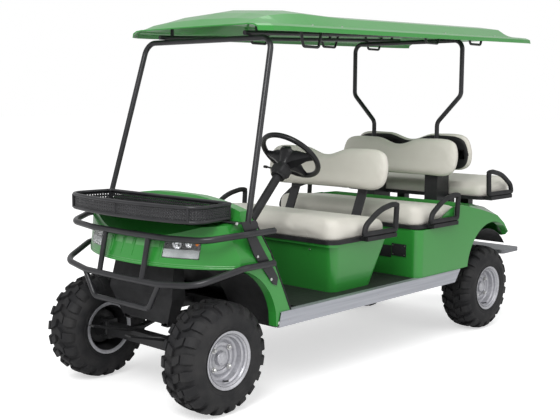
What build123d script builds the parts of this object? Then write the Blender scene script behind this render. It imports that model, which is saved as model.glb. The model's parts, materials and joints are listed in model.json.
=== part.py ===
from build123d import *
import math
import os

# Six-seat golf cart with a front basket, a brush guard, a long roof and a rear-facing bench.
# All sizes are in millimetres.  Stations (y) are counted rearwards from the front axle while the pieces are
# made; save() then moves each piece so that the origin lies on the ground at the middle of the cart.
# +X is the driver's left, -Y is the front, +Z is up.

# ---- wheels and axles
WHEELBASE = 2433
TRACK = 940
TYRE_R = 280
TYRE_W = 242
TYRE_SHOULDER = 42
RIM_SEAT_R = 127
RIM_FLANGE_R = 144
RIM_WIDTH = 216
RIM_WALL = 5
DISC_OFFSET = 30
HUB_R = 58
HUB_LENGTH = 70
SPINDLE_R = 18
KINGPIN_X = 385
KINGPIN_R = 20
KNUCKLE_HEIGHT = 78
AXLE_BEAM = 60
YOKE_WALL = 14
JOINT_GAP = 3
RUN_GAP = 0.3
AXLE_TUBE_R = 36
DIFFERENTIAL_R = 85
MOTOR_R = 78
MOTOR_LENGTH = 230

# ---- chassis, floor and sills
RAIL_X = 150
RAIL_WIDTH = 50
RAIL_HEIGHT = 60
RAIL_WALL = 4
RAIL_REAR_Y = 2760
DECK_TOP_Z = 453
DECK_T = 12
MAT_T = 12
SILL_OUT_X = 600
SILL_HEIGHT = 78
SILL_DEPTH = 40
SILL_WALL = 4
SILL_FRONT_Y = 345
SILL_REAR_Y = 2036
SILL_FRONT_RAKE = 19
SILL_REAR_RAKE = 60
SPRING_WIDTH = 45
SPRING_LEAF = 8
SPRING_LENGTH = 560
SPRING_DROP = 40

# ---- front cowl
SKIN = 5
COWL_HALF = 592
NOSE_Y = -180
NOSE_SIDE_Y = 60
NOSE_LEAN = 130
COWL_DRAW_IN = 20
LIP_Z = 716
FASCIA_TOP_Z = 858
CREST_Y = 190
CREST_Z = 1046
COWL_SHOULDER_Z = 985
COWL_REAR_TOP_Y = 206
COWL_REAR_MID_Y = 280
COWL_REAR_MID_Z = 760
COWL_REAR_LOW_Y = 419
LEG_FRONT_Y = 316
ARCH_R = 318
ARCH_RISE = 120
ARCH_FLANGE = 52
ARCH_FLANGE_T = 6
DASH_DROP = 190
DASH_DEPTH = 70
TOE_Z = 640
LINER_T = 4
LINER_R = 366
LAMP_X = 330
LAMP_WIDTH = 190
LAMP_HEIGHT = 92
LAMP_DEPTH = 34
APRON_HALF = 250
APRON_Y = -80
APRON_BOTTOM_Z = 402
APRON_WIDE_Z = 540
APRON_LEAN = 30
APRON_DEPTH = 60
APRON_TOP_Z = 700

# ---- seats
SEAT_HALF = 580
SEAT_BASE_T = 22
CUSHION_T = 125
CUSHION_CORNER = 70
CUSHION_EDGE = 34
CUSHION_TILT = 42
LID_GAP = 6
ROW_1_Y = 772
ROW_1_DEPTH = 520
ROW_1_Z = 752
ROW_2_Y = 1560
ROW_2_DEPTH = 520
ROW_2_Z = 760
ROW_3_Y = 2330
ROW_3_DEPTH = 400
ROW_3_Z = 880
BACK_HALF = 478
BACK_HEIGHT = 268
BACK_T = 70
BACK_DIP = 42
HUMP_X = 230
BACK_CORNER = 70
BACK_LEAN = 8
SHELL_T = 16
BACK_1_Y = 1352
BACK_1_Z = 990
BACK_2_Y = 2118
BACK_2_Z = 1030
BACK_3_Y = 2400
BACK_3_Z = 1060
POST_X = 270
POST_WIDTH = 66
POST_T = 12
POST_FOOT_Z = 690
POST_TOP_Z = 1120
SUPPORT_HALF = 50
SUPPORT_WALL = 5
SUPPORT_TOP_Z = 1225
REST_R = 15
REST_LENGTH = 360
REST_HEIGHT = 186

# ---- seat pod and rear body
POD_BOTTOM_HALF = 490
POD_TOP_HALF = 556
POD_BOTTOM_Y = 885
POD_BOTTOM_DEPTH = 360
POD_TOP_Y = 800
POD_TOP_DEPTH = 522
POD_CORNER = 50
BODY_HALF = 592
BODY_FRONT_Y = 1571
BODY_REAR_Y = 2715
BODY_CORNER = 52
BODY_ROUND_X = 470
REAR_ARCH_R = 305
REAR_ARCH_RISE = 145
TAIL_BOTTOM_Z = 580
BATTERY_HALF = 380
BATTERY_Y = 915
BATTERY_DEPTH = 295
BATTERY_TOP_Z = 720
LINER_CLEARANCE = 30

# ---- roof and its frames
ROOF_HALF = 545
ROOF_FRONT_Y = 283
ROOF_REAR_Y = 3011
ROOF_FRONT_Z = 1869
ROOF_REAR_Z = 1930
ROOF_SKIN = 6
ROOF_EDGE = 36
ROOF_CROWN_Y = 723
ROOF_CROWN = 110
ROOF_PANEL_RISE = 92
ROOF_PANEL_HALF = 400
TUBE_R = 15
STRUT_TOP_X = 484
STRUT_TOP_Y = 386
STRUT_TOP_Z = 1842
STRUT_FOOT_X = 556
STRUT_FOOT_Y = 140
STRUT_FOOT_Z = 905
STRUT_BEND = 70
HOOP_Y = 2244
HOOP_HALF = 438
HOOP_TOP_Z = 1920
HOOP_BEND_Z = 1567
HOOP_NECK_Z = 1383
HOOP_NECK_X = 260
HOOP_BEND = 60
ROOF_RAIL_X = 330
ROOF_RAIL_R = 12
HANDLE_X = 425
HANDLE_WIDTH = 200
HANDLE_R = 8

# ---- brush guard, basket, brackets and rear step
GUARD_R = 16
GUARD_UPPER_Z = 862
GUARD_LOWER_Z = 642
GUARD_UPPER_Y = -165
GUARD_LOWER_Y = -212
GUARD_CORNER = 522
GUARD_REAR_Y = 270
GUARD_SIDE_RISE = 86
GUARD_UPPER_RISE = 28
GUARD_POST_X = 170
U_BAR_HALF = 298
U_BAR_Z = 510
BASKET_TOP_Z = 1024
BASKET_BOTTOM_Z = 954
BASKET_FRONT_Y = -215
BASKET_REAR_Y = 112
BASKET_HALF = 510
BASKET_REAR_HALF = 478
BASKET_R = 9
BASKET_WALL = 2
BRACKET_T = 8
BRACKET_BOLT_R = 10
BRACKET_WIDTH = 52
STEP_HALF = 400
STEP_Y = 2935
STEP_DEPTH = 240
STEP_Z = 430
STEP_T = 28

# ---- steering
COLUMN_X = 270
COLUMN_ANGLE = 47
COLUMN_R = 24
WHEEL_HUB_Y = 770
WHEEL_HUB_Z = 1225
COLUMN_LENGTH = 645
COLLAR_LENGTH = 78
COLLAR_RISE = 16
COLUMN_FOOT_T = 12
COLUMN_FOOT_HALF = 45
STEER_R = 170
STEER_RIM_R = 15
STEER_HUB_R = 62
STEER_HUB_DEPTH = 80
SPOKE_WIDTH = 56

# ---- places worked out from the sizes above
AXLE_Z = TYRE_R
WHEEL_X = TRACK / 2
DECK_BOTTOM_Z = DECK_TOP_Z - DECK_T
MAT_TOP_Z = DECK_TOP_Z + MAT_T
SILL_TOP_Z = MAT_TOP_Z
SILL_BOTTOM_Z = SILL_TOP_Z - SILL_HEIGHT
SILL_IN_X = SILL_OUT_X - SILL_DEPTH
RAIL_TOP_Z = DECK_BOTTOM_Z
RAIL_BOTTOM_Z = RAIL_TOP_Z - RAIL_HEIGHT
RAIL_FRONT_Y = APRON_Y + APRON_LEAN + LINER_T + RUN_GAP
FRONT_Y = min(GUARD_LOWER_Y - GUARD_R, -TYRE_R)
REAR_Y = STEP_Y + STEP_DEPTH
MIDDLE_Y = (FRONT_Y + REAR_Y) / 2
BAY_HALF = SEAT_HALF - 150
# station and height of the rear body's upper edge, near its middle and at its flanks
DECK_LINE = [
    (BODY_FRONT_Y - 10, ROW_2_Z),
    (BODY_FRONT_Y + 180, ROW_2_Z),
    (BODY_FRONT_Y + 290, ROW_2_Z + 70),
    (BODY_FRONT_Y + 380, ROW_2_Z + 114),
    (BODY_FRONT_Y + 500, ROW_2_Z + 126),
    (WHEELBASE - 60, ROW_2_Z + 85),
    (BODY_REAR_Y - 190, ROW_2_Z + 54),
    (BODY_REAR_Y - 95, ROW_2_Z + 9),
    (BODY_REAR_Y - 10, ROW_2_Z - 60),
    (BODY_REAR_Y, TAIL_BOTTOM_Z + 60),
]
FENDER_LINE = [
    (BODY_FRONT_Y - 10, ROW_2_Z - 6),
    (BODY_FRONT_Y + 165, ROW_2_Z - 6),
    (BODY_FRONT_Y + 270, ROW_2_Z + 66),
    (BODY_FRONT_Y + 360, ROW_2_Z + 108),
    (BODY_FRONT_Y + 500, ROW_2_Z + 110),
    (WHEELBASE - 120, ROW_2_Z + 58),
    (BODY_REAR_Y - 215, ROW_2_Z + 8),
    (BODY_REAR_Y - 125, ROW_2_Z - 50),
    (BODY_REAR_Y - 70, ROW_2_Z - 110),
    (BODY_REAR_Y - 62, TAIL_BOTTOM_Z + 30),
]
BIG = 4000
REST_X = BODY_HALF + REST_R + LID_GAP
GUARD_HALF = COWL_HALF + BRACKET_T + GUARD_R + 0.3


def save(name, *shapes):
    """Write one node, moved from axle stations to the cart's own origin."""
    solids = [solid for shape in shapes for solid in shape.solids()]
    body = Compound(children=[Pos(0, -MIDDLE_Y, 0) * solid for solid in solids])
    export_step(body, f"parts/{name}.step")


def both_sides(shape):
    """The shape and its mirror image across the centre plane."""
    return [shape, mirror(shape, Plane.YZ)]


def block(x_low, x_high, y_low, y_high, z_low, z_high):
    """A box between two corners."""
    size = (x_high - x_low, y_high - y_low, z_high - z_low)
    centre = ((x_low + x_high) / 2, (y_low + y_high) / 2, (z_low + z_high) / 2)
    return Pos(*centre) * Box(*size)


def side_plate(points, x_low, x_high):
    """A (y, z) outline carried across from x_low to x_high."""
    face = Plane.YZ.offset(x_low) * make_face(Polyline(*points, close=True))
    return extrude(face, amount=x_high - x_low)


def front_plate(face, y_low, y_high):
    """An (x, z) face carried rearwards from y_low to y_high."""
    return extrude(Plane.XZ.offset(-y_high) * face, amount=y_high - y_low)


def plan_plate(face, z_low, z_high):
    """An (x, y) face carried up from z_low to z_high."""
    return extrude(Plane.XY.offset(z_low) * face, amount=z_high - z_low)


def cylinder_x(radius, x_low, x_high, y, z):
    """A round bar across the cart."""
    return Pos((x_low + x_high) / 2, y, z) * Rot(0, 90, 0) * Cylinder(radius, x_high - x_low)


def trimmed(shape, cutter):
    """A shape cut off where it meets another, without the stubs beyond."""
    return max((shape - cutter).solids(), key=lambda solid: solid.volume)


def tube(points, radius, bend):
    """A round tube along straight runs joined by bends."""
    path = FilletPolyline(*points, radius=bend)
    return sweep(Plane(origin=path @ 0, z_dir=path % 0) * Circle(radius), path=path)


# ---- running gear


def wheel_profile(points):
    """A ring about the wheel's own axle, from (x, radius) points."""
    face = make_face(Polyline(*points, close=True))
    return revolve(face, axis=Axis.X)


def make_tyre():
    half = TYRE_W / 2
    seat = RIM_WIDTH / 2 - RIM_WALL
    points = [
        (-seat, RIM_SEAT_R),
        (seat, RIM_SEAT_R),
        (seat, RIM_FLANGE_R),
        (half, (RIM_FLANGE_R + TYRE_R) / 2),
        (half - TYRE_SHOULDER / 3, TYRE_R - TYRE_SHOULDER),
        (half - TYRE_SHOULDER, TYRE_R),
        (-half + TYRE_SHOULDER, TYRE_R),
        (-half + TYRE_SHOULDER / 3, TYRE_R - TYRE_SHOULDER),
        (-half, (RIM_FLANGE_R + TYRE_R) / 2),
        (-seat, RIM_FLANGE_R),
    ]
    return wheel_profile(points)


def make_rim():
    """A dished steel rim; its outer face looks towards +X."""
    half = RIM_WIDTH / 2
    inner = RIM_SEAT_R - RIM_WALL
    barrel = [
        (-half, inner),
        (half, inner),
        (half, RIM_FLANGE_R),
        (half - RIM_WALL, RIM_FLANGE_R),
        (half - RIM_WALL, RIM_SEAT_R),
        (-half + RIM_WALL, RIM_SEAT_R),
        (-half + RIM_WALL, RIM_FLANGE_R),
        (-half, RIM_FLANGE_R),
    ]
    disc = [
        (DISC_OFFSET, 0),
        (DISC_OFFSET + RIM_WALL, 0),
        (DISC_OFFSET + RIM_WALL, HUB_R),
        (DISC_OFFSET + 4 * RIM_WALL, HUB_R + 4 * RIM_WALL),
        (DISC_OFFSET + 4 * RIM_WALL, inner + RIM_WALL / 2),
        (DISC_OFFSET + 3 * RIM_WALL, inner + RIM_WALL / 2),
        (DISC_OFFSET + 3 * RIM_WALL, HUB_R + 4 * RIM_WALL),
        (DISC_OFFSET, HUB_R),
    ]
    return wheel_profile(barrel) + wheel_profile(disc)


def make_wheels():
    tyre = make_tyre()
    rim = make_rim()
    rim_right = mirror(rim, Plane.YZ)
    # name, side of the cart (+1 left, -1 right), station
    corners = [
        ("front_left", 1, 0),
        ("front_right", -1, 0),
        ("rear_left", 1, WHEELBASE),
        ("rear_right", -1, WHEELBASE),
    ]
    for name, side, station in corners:
        place = Pos(side * WHEEL_X, station, AXLE_Z)
        save(f"tyre_{name}", place * tyre)
        save(f"rim_{name}", place * (rim if side > 0 else rim_right))


def make_knuckle():
    """Kingpin barrel, spindle and hub of the left front wheel."""
    barrel = Pos(KINGPIN_X, 0, AXLE_Z) * Cylinder(KINGPIN_R, KNUCKLE_HEIGHT)
    hub_face = WHEEL_X + DISC_OFFSET - RUN_GAP
    spindle = cylinder_x(SPINDLE_R, KINGPIN_X, hub_face, 0, AXLE_Z)
    hub = cylinder_x(HUB_R, hub_face - HUB_LENGTH, hub_face, 0, AXLE_Z)
    return barrel + spindle + hub


def make_front_axle():
    """Box beam with a forked yoke at each end."""
    beam_end = KINGPIN_X - KINGPIN_R - YOKE_WALL - JOINT_GAP
    half = AXLE_BEAM / 2
    axle = block(-beam_end, beam_end, -half, half, AXLE_Z - half, AXLE_Z + half)
    reach = KNUCKLE_HEIGHT / 2 + RUN_GAP
    for side in (1, -1):
        web = block(beam_end - YOKE_WALL, beam_end, -half, half, AXLE_Z - reach, AXLE_Z + reach)
        yoke = web
        for ear_z in (AXLE_Z + reach, AXLE_Z - reach - YOKE_WALL):
            ear = block(beam_end - YOKE_WALL, KINGPIN_X + KINGPIN_R, -half, half, ear_z, ear_z + YOKE_WALL)
            yoke = yoke + ear
        axle = axle + (yoke if side > 0 else mirror(yoke, Plane.YZ))
    return axle


def make_rear_axle():
    """Axle tube, differential case and the drive motor's can in front of it."""
    hub_face = WHEEL_X + DISC_OFFSET
    tube_end = hub_face - HUB_LENGTH
    axle = cylinder_x(AXLE_TUBE_R, -tube_end, tube_end, WHEELBASE, AXLE_Z)
    case_end = DIFFERENTIAL_R * 1.2
    case = cylinder_x(DIFFERENTIAL_R, -case_end / 2, case_end / 2, WHEELBASE, AXLE_Z)
    for side in (1, -1):
        shoulder = Pos(side * case_end * 0.75, WHEELBASE, AXLE_Z) * Rot(0, side * 90, 0) * Cone(
            DIFFERENTIAL_R, AXLE_TUBE_R + 10, case_end / 2)
        case = case + shoulder
    axle = axle + case
    motor_y = WHEELBASE - MOTOR_LENGTH / 2
    motor = Pos(0, motor_y, AXLE_Z) * Rot(90, 0, 0) * Cylinder(MOTOR_R, MOTOR_LENGTH)
    return axle + motor


def make_rear_hub():
    hub_face = WHEEL_X + DISC_OFFSET
    return cylinder_x(HUB_R, hub_face - HUB_LENGTH + RUN_GAP, hub_face - RUN_GAP, WHEELBASE, AXLE_Z)


def make_spring(station, axle_half):
    """One leaf pack over an axle, with an eye block up to the rail at each end."""
    seat_z = AXLE_Z + axle_half
    eye_z = RAIL_BOTTOM_Z
    half = SPRING_LENGTH / 2
    x_low = RAIL_X - SPRING_WIDTH / 2
    x_high = RAIL_X + SPRING_WIDTH / 2
    clamp = half / 5
    leaves = side_plate(
        [
            (station - half, eye_z),
            (station - half, eye_z - SPRING_LEAF),
            (station - clamp, seat_z),
            (station + clamp, seat_z),
            (station + half, eye_z - SPRING_LEAF),
            (station + half, eye_z),
            (station + clamp, seat_z + 2 * SPRING_LEAF),
            (station - clamp, seat_z + 2 * SPRING_LEAF),
        ],
        x_low,
        x_high,
    )
    return leaves


# ---- chassis, floor and sills


def make_chassis():
    """Two hollow rails and the cross tubes that carry the floor and the sills."""
    rail = block(
        RAIL_X - RAIL_WIDTH / 2, RAIL_X + RAIL_WIDTH / 2, RAIL_FRONT_Y, RAIL_REAR_Y, RAIL_BOTTOM_Z, RAIL_TOP_Z
    )
    hollow = block(
        RAIL_X - RAIL_WIDTH / 2 + RAIL_WALL,
        RAIL_X + RAIL_WIDTH / 2 - RAIL_WALL,
        RAIL_FRONT_Y - RAIL_WALL,
        RAIL_REAR_Y + RAIL_WALL,
        RAIL_BOTTOM_Z + RAIL_WALL,
        RAIL_TOP_Z - RAIL_WALL,
    )
    rail = rail - hollow
    frame = rail + mirror(rail, Plane.YZ)
    sill_wall_x = SILL_OUT_X - SILL_WALL
    # station, half-length of each cross tube
    cross_tubes = [
        (SILL_FRONT_Y + 80, sill_wall_x),
        ((SILL_FRONT_Y + SILL_REAR_Y) / 2, sill_wall_x),
        (SILL_REAR_Y - 120, sill_wall_x),
        (RAIL_FRONT_Y + RAIL_WIDTH / 2, RAIL_X),
        (RAIL_REAR_Y - RAIL_WIDTH / 2, RAIL_X),
    ]
    half = RAIL_WIDTH / 2
    cross_bottom = SILL_BOTTOM_Z + 2 * SILL_WALL
    for station, reach in cross_tubes:
        outer = block(-reach, reach, station - half, station + half, cross_bottom, RAIL_TOP_Z)
        frame = frame + outer
    return frame


def make_sill():
    """Left sill: a channel that opens inwards, its ends raked."""
    outline = [
        (SILL_FRONT_Y - SILL_FRONT_RAKE, SILL_BOTTOM_Z),
        (SILL_FRONT_Y, SILL_TOP_Z),
        (SILL_REAR_Y, SILL_TOP_Z),
        (SILL_REAR_Y - SILL_REAR_RAKE, SILL_BOTTOM_Z),
    ]
    channel = side_plate(outline, SILL_IN_X, SILL_OUT_X)
    hollow = block(
        SILL_IN_X - SILL_WALL,
        SILL_OUT_X - SILL_WALL,
        SILL_FRONT_Y - SILL_DEPTH,
        SILL_REAR_Y + SILL_DEPTH,
        SILL_BOTTOM_Z + SILL_WALL,
        SILL_TOP_Z - SILL_WALL,
    )
    return channel - hollow


def make_deck():
    reach = SILL_OUT_X - SILL_WALL
    front_y = LINER_R + LINER_T + 6
    return block(-reach, reach, front_y, SILL_REAR_Y - SILL_REAR_RAKE, DECK_BOTTOM_Z, DECK_TOP_Z)


def make_mat():
    front_y = LINER_R + LINER_T + 12 + 115 + LINER_T * 1.4
    return block(-SILL_IN_X, SILL_IN_X, front_y, BODY_FRONT_Y + SKIN, DECK_TOP_Z, MAT_TOP_Z)


# ---- front cowl


def nose_outline(inset, nose_y, half_width):
    """Plan of the nose and the cowl's sides, drawn in by the inset, open rearwards."""
    half = half_width - inset
    front = nose_y + inset
    side_y = NOSE_SIDE_Y
    rear_y = COWL_REAR_LOW_Y + COWL_HALF
    quarter_x = half * 0.62
    quarter_y = front + (side_y - nose_y) * 0.33
    right = ThreePointArc((0, front), (-quarter_x, quarter_y), (-half, side_y))
    left = ThreePointArc((half, side_y), (quarter_x, quarter_y), (0, front))
    rear = Polyline((-half, side_y), (-half, rear_y), (half, rear_y), (half, side_y))
    return make_face(Curve() + [right, rear, left])


def nose_form(inset):
    """The nose leans back and draws in above the lip."""
    low = nose_outline(inset, NOSE_Y, COWL_HALF)
    high = nose_outline(inset, NOSE_Y + NOSE_LEAN, COWL_HALF - COWL_DRAW_IN)
    base = plan_plate(low, 0, LIP_Z)
    upper = loft([Plane.XY.offset(LIP_Z) * low, Plane.XY.offset(CREST_Z + 20) * high], ruled=True)
    return base + upper


def cowl_dome(inset):
    """Cross-section of the cowl: upright sides drawn in to the shoulders under a low crown."""
    half = COWL_HALF - inset
    crest = CREST_Z - inset
    shoulder = COWL_SHOULDER_Z - inset
    shoulder_x = half - 92
    belt_z = COWL_REAR_MID_Z
    waist = (half - 52, belt_z + (shoulder - belt_z) * 0.62)
    crown = ThreePointArc((shoulder_x, shoulder), (0, crest), (-shoulder_x, shoulder))
    sides = Polyline((-shoulder_x, shoulder), (-waist[0], waist[1]), (-half, belt_z), (-half, 0),
                     (half, 0), (half, belt_z), waist, (shoulder_x, shoulder))
    return make_face(Curve() + [crown, sides])


def cowl_side(inset, rear_extra):
    """Side outline of the cowl from the lip over the shelf and the crest and down the rear edge."""
    low_z = SILL_BOTTOM_Z + 7
    shelf_z = BASKET_BOTTOM_Z - BASKET_R - 14
    return [
        (NOSE_Y - 50, low_z - rear_extra),
        (NOSE_Y - 50, FASCIA_TOP_Z - inset),
        (NOSE_Y + 64, FASCIA_TOP_Z - inset),
        (NOSE_Y + 150, FASCIA_TOP_Z + 58 - inset),
        (BASKET_REAR_Y - 70, shelf_z - inset),
        (BASKET_REAR_Y + 14, shelf_z + 8 - inset),
        (CREST_Y - 24, CREST_Z - 6 - inset),
        (CREST_Y, CREST_Z - inset),
        (COWL_REAR_TOP_Y + 14 + rear_extra, CREST_Z - 8 - inset),
        (COWL_REAR_TOP_Y + rear_extra, COWL_SHOULDER_Z),
        (COWL_REAR_MID_Y + rear_extra, COWL_REAR_MID_Z),
        (COWL_REAR_LOW_Y + rear_extra, SILL_TOP_Z - rear_extra),
        (SILL_FRONT_Y - 1, SILL_TOP_Z - rear_extra),
        (SILL_FRONT_Y - SILL_FRONT_RAKE, low_z - rear_extra),
    ]


def cowl_form(inset, rear_extra):
    body = side_plate(cowl_side(inset, rear_extra), -COWL_HALF, COWL_HALF)
    body = body & nose_form(inset)
    return body & front_plate(cowl_dome(inset), NOSE_Y - 100, COWL_REAR_LOW_Y + rear_extra)


def arch_face(centre_y, centre_z, radius, leg_y, facing):
    """Side outline of a wheel opening; facing is +1 where its leg is behind the wheel."""
    knee = math.radians(12)
    knee_y = centre_y + facing * radius * math.cos(knee)
    knee_z = centre_z + radius * math.sin(knee)
    top = (centre_y, centre_z + radius)
    middle = (centre_y + facing * radius * math.cos(math.radians(50)),
              centre_z + radius * math.sin(math.radians(50)))
    curve = ThreePointArc(top, middle, (knee_y, knee_z))
    return curve, (knee_y, knee_z), top


def make_front_opening(grow):
    """The wheel opening of the cowl as one solid across the cart."""
    centre_z = AXLE_Z + ARCH_RISE
    curve, knee, top = arch_face(0, centre_z, ARCH_R + grow, LEG_FRONT_Y, 1)
    rest = Polyline(
        knee,
        (LEG_FRONT_Y + grow, SILL_BOTTOM_Z),
        (LEG_FRONT_Y + grow, -BIG),
        (NOSE_Y - BIG, -BIG),
        (NOSE_Y - BIG, LIP_Z + grow),
        (0, LIP_Z + grow),
        top,
    )
    face = Plane.YZ.offset(-BIG) * make_face(Curve() + [curve, rest])
    return extrude(face, amount=2 * BIG)


def make_cowl():
    shell = cowl_form(0, 0) - cowl_form(SKIN, 2 * COWL_HALF)
    shell = shell - make_front_opening(0)
    flange = cowl_form(0, 0) & (make_front_opening(ARCH_FLANGE_T) - make_front_opening(0))
    keep = block(COWL_HALF - ARCH_FLANGE, COWL_HALF, 0, BIG, 0, LIP_Z + ARCH_R)
    flange_left = flange & keep
    return shell + flange_left + mirror(flange_left, Plane.YZ)


def make_dashboard():
    """Black panel that hangs from the cowl's rear edge, with a shelf behind it."""
    half = COWL_HALF - 3 * SKIN
    top = COWL_SHOULDER_Z - 60
    panel = side_plate(
        [
            (COWL_REAR_TOP_Y - 12, top),
            (COWL_REAR_TOP_Y + 8, top),
            (COWL_REAR_MID_Y - 8, COWL_REAR_MID_Z),
            (COWL_REAR_MID_Y - 8 - DASH_DEPTH, COWL_REAR_MID_Z - 8),
            (COWL_REAR_MID_Y - 8 - DASH_DEPTH, COWL_REAR_MID_Z),
            (COWL_REAR_MID_Y - 20, COWL_REAR_MID_Z + 8),
        ],
        -half,
        half,
    )
    return panel & cowl_form(SKIN + RUN_GAP, 2 * COWL_HALF)


def firewall_slope():
    """Rear face of the firewall's slope, as its upper and lower (station, height)."""
    slope_t = LINER_T * 1.4
    high = (COWL_REAR_MID_Y - 8 - DASH_DEPTH + LINER_T, COWL_REAR_MID_Z - 49 + slope_t)
    low = (LINER_R + LINER_T + 12 + slope_t, TOE_Z - 120 + slope_t)
    return high, low


def make_firewall():
    """Toe board: a bent sheet from the dash shelf down to the floor, between the cowl's legs."""
    half = COWL_HALF - ARCH_FLANGE - 1
    top_z = COWL_REAR_MID_Z - 9
    slope_t = LINER_T * 1.4
    (high_y, high_z), (low_y, low_z) = firewall_slope()
    foot_y = low_y + 115
    points = [
        (high_y - LINER_T, top_z),
        (high_y - LINER_T, high_z - slope_t),
        (low_y - slope_t, low_z - slope_t),
        (foot_y - slope_t, DECK_TOP_Z),
        (foot_y, DECK_TOP_Z),
        (low_y, low_z),
        (high_y, high_z),
        (high_y, top_z),
    ]
    return side_plate(points, -half, half)


def make_apron():
    """Ribbed black shield in front of the rails: a bent face with side walls, open above and below."""
    def form(inset, extra):
        z_low = APRON_BOTTOM_Z - extra
        z_high = APRON_TOP_Z + extra
        low_half = APRON_HALF * 0.72 - inset
        high_half = APRON_HALF * 0.93 - inset
        wide_half = APRON_HALF - inset
        bend_z = (APRON_BOTTOM_Z + APRON_TOP_Z) / 2
        side = side_plate(
            [
                (APRON_Y + APRON_LEAN + inset, z_high),
                (APRON_Y + APRON_LEAN + APRON_DEPTH + extra, z_high),
                (APRON_Y + APRON_LEAN + APRON_DEPTH + extra, z_low),
                (APRON_Y + APRON_LEAN + inset, z_low),
                (APRON_Y + inset, bend_z),
            ],
            -APRON_HALF,
            APRON_HALF,
        )
        outline = [(low_half, z_low), (wide_half, APRON_WIDE_Z), (high_half, z_high),
                   (-high_half, z_high), (-wide_half, APRON_WIDE_Z), (-low_half, z_low)]
        face = make_face(Polyline(*outline, close=True))
        return side & front_plate(face, APRON_Y - 1, APRON_Y + APRON_LEAN + 2 * APRON_DEPTH)
    return form(0, 0) - form(LINER_T, 1)


def make_lamp():
    """Left headlamp: a wedge of the nose's own outline behind a clear lens."""
    cell = block(LAMP_X - LAMP_WIDTH / 2, LAMP_X + LAMP_WIDTH / 2, NOSE_Y, NOSE_SIDE_Y + 60,
                 LIP_Z + 45, LIP_Z + 45 + LAMP_HEIGHT)
    return cell & (nose_form(-3) - nose_form(LAMP_DEPTH))


def make_lamp_hole():
    gap = 0.3
    return block(LAMP_X - LAMP_WIDTH / 2 - gap, LAMP_X + LAMP_WIDTH / 2 + gap, NOSE_Y, NOSE_SIDE_Y + 60,
                 LIP_Z + 45 - gap, LIP_Z + 45 + LAMP_HEIGHT + gap)


# ---- seats


def make_pod():
    """Tapered green box under the first bench, open at the top and bottom."""
    def form(inset, extra):
        low = Pos(0, POD_BOTTOM_Y + POD_BOTTOM_DEPTH / 2) * RectangleRounded(
            2 * (POD_BOTTOM_HALF - inset), POD_BOTTOM_DEPTH - 2 * inset, POD_CORNER)
        high = Pos(0, POD_TOP_Y + POD_TOP_DEPTH / 2) * RectangleRounded(
            2 * (POD_TOP_HALF - inset), POD_TOP_DEPTH - 2 * inset, POD_CORNER)
        top_z = ROW_1_Z - RUN_GAP
        return loft([Plane.XY.offset(MAT_TOP_Z - extra) * low, Plane.XY.offset(top_z + extra) * high])
    rim = plan_plate(
        Pos(0, ROW_1_Y + ROW_1_DEPTH / 2) * RectangleRounded(2 * SEAT_HALF - 20, ROW_1_DEPTH - 20, POD_CORNER),
        ROW_1_Z - 14,
        ROW_1_Z - RUN_GAP,
    )
    return (form(0, 0) + rim) - form(SKIN, 1)


def pod_rear_y(z):
    """Station of the pod's rear wall at a height."""
    share = (z - MAT_TOP_Z) / (ROW_1_Z - MAT_TOP_Z)
    low = POD_BOTTOM_Y + POD_BOTTOM_DEPTH
    return low + share * (POD_TOP_Y + POD_TOP_DEPTH - low)


def make_battery():
    """Battery pack as one plain block inside the pod."""
    return block(-BATTERY_HALF, BATTERY_HALF, BATTERY_Y, BATTERY_Y + BATTERY_DEPTH, MAT_TOP_Z, BATTERY_TOP_Z)


def interpolate(table, at):
    """Value at a place along a table of (place, value) rows."""
    for (start, first), (end, second) in zip(table, table[1:]):
        if at <= end:
            return first + (second - first) * (at - start) / (end - start)
    return table[-1][1]


def body_outline(inset):
    """Plan of the rear body with small rounds at its front corners."""
    half = BODY_HALF - inset
    face = make_face(Polyline((-half, BODY_FRONT_Y + inset), (half, BODY_FRONT_Y + inset),
                              (half, BODY_REAR_Y + BODY_CORNER), (-half, BODY_REAR_Y + BODY_CORNER), close=True))
    front = face.vertices().group_by(Axis.Y)[0]
    return fillet(front, BODY_CORNER)


def body_side(table, inset, drop):
    """Side outline of the rear body from a (station, height) table of its upper edge."""
    top = [(y - (inset if z < 700 else inset * 0.7 if z < 800 else 0), z - (inset if z > 640 else 0))
           for y, z in table]
    rear_y = table[-1][0] - inset
    return [
        (BODY_FRONT_Y - 10, SILL_TOP_Z - drop),
        *top,
        (rear_y - 30, TAIL_BOTTOM_Z - drop),
        (WHEELBASE, SILL_TOP_Z - drop),
    ]


def body_form(inset):
    """Solid of the rear body: a straight middle and sides that round off towards the tail."""
    drop = 0 if inset == 0 else 50
    middle_side = body_side(DECK_LINE, inset, drop)
    edge_side = body_side(FENDER_LINE, inset, drop)
    middle = side_plate(middle_side, -BODY_ROUND_X, BODY_ROUND_X)
    inner = Plane.YZ.offset(BODY_ROUND_X) * make_face(Polyline(*middle_side, close=True))
    outer = Plane.YZ.offset(BODY_HALF - inset) * make_face(Polyline(*edge_side, close=True))
    flank = loft([inner, outer], ruled=True)
    body = middle + flank + mirror(flank, Plane.YZ)
    body = body & plan_plate(body_outline(inset), 0, BIG)
    reach = SEAT_HALF + LID_GAP + inset
    well_rear = ROW_2_Y + ROW_2_DEPTH + LID_GAP + inset
    return body - block(-reach, reach, 0, well_rear, ROW_2_Z - RUN_GAP - inset, BIG)


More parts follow.
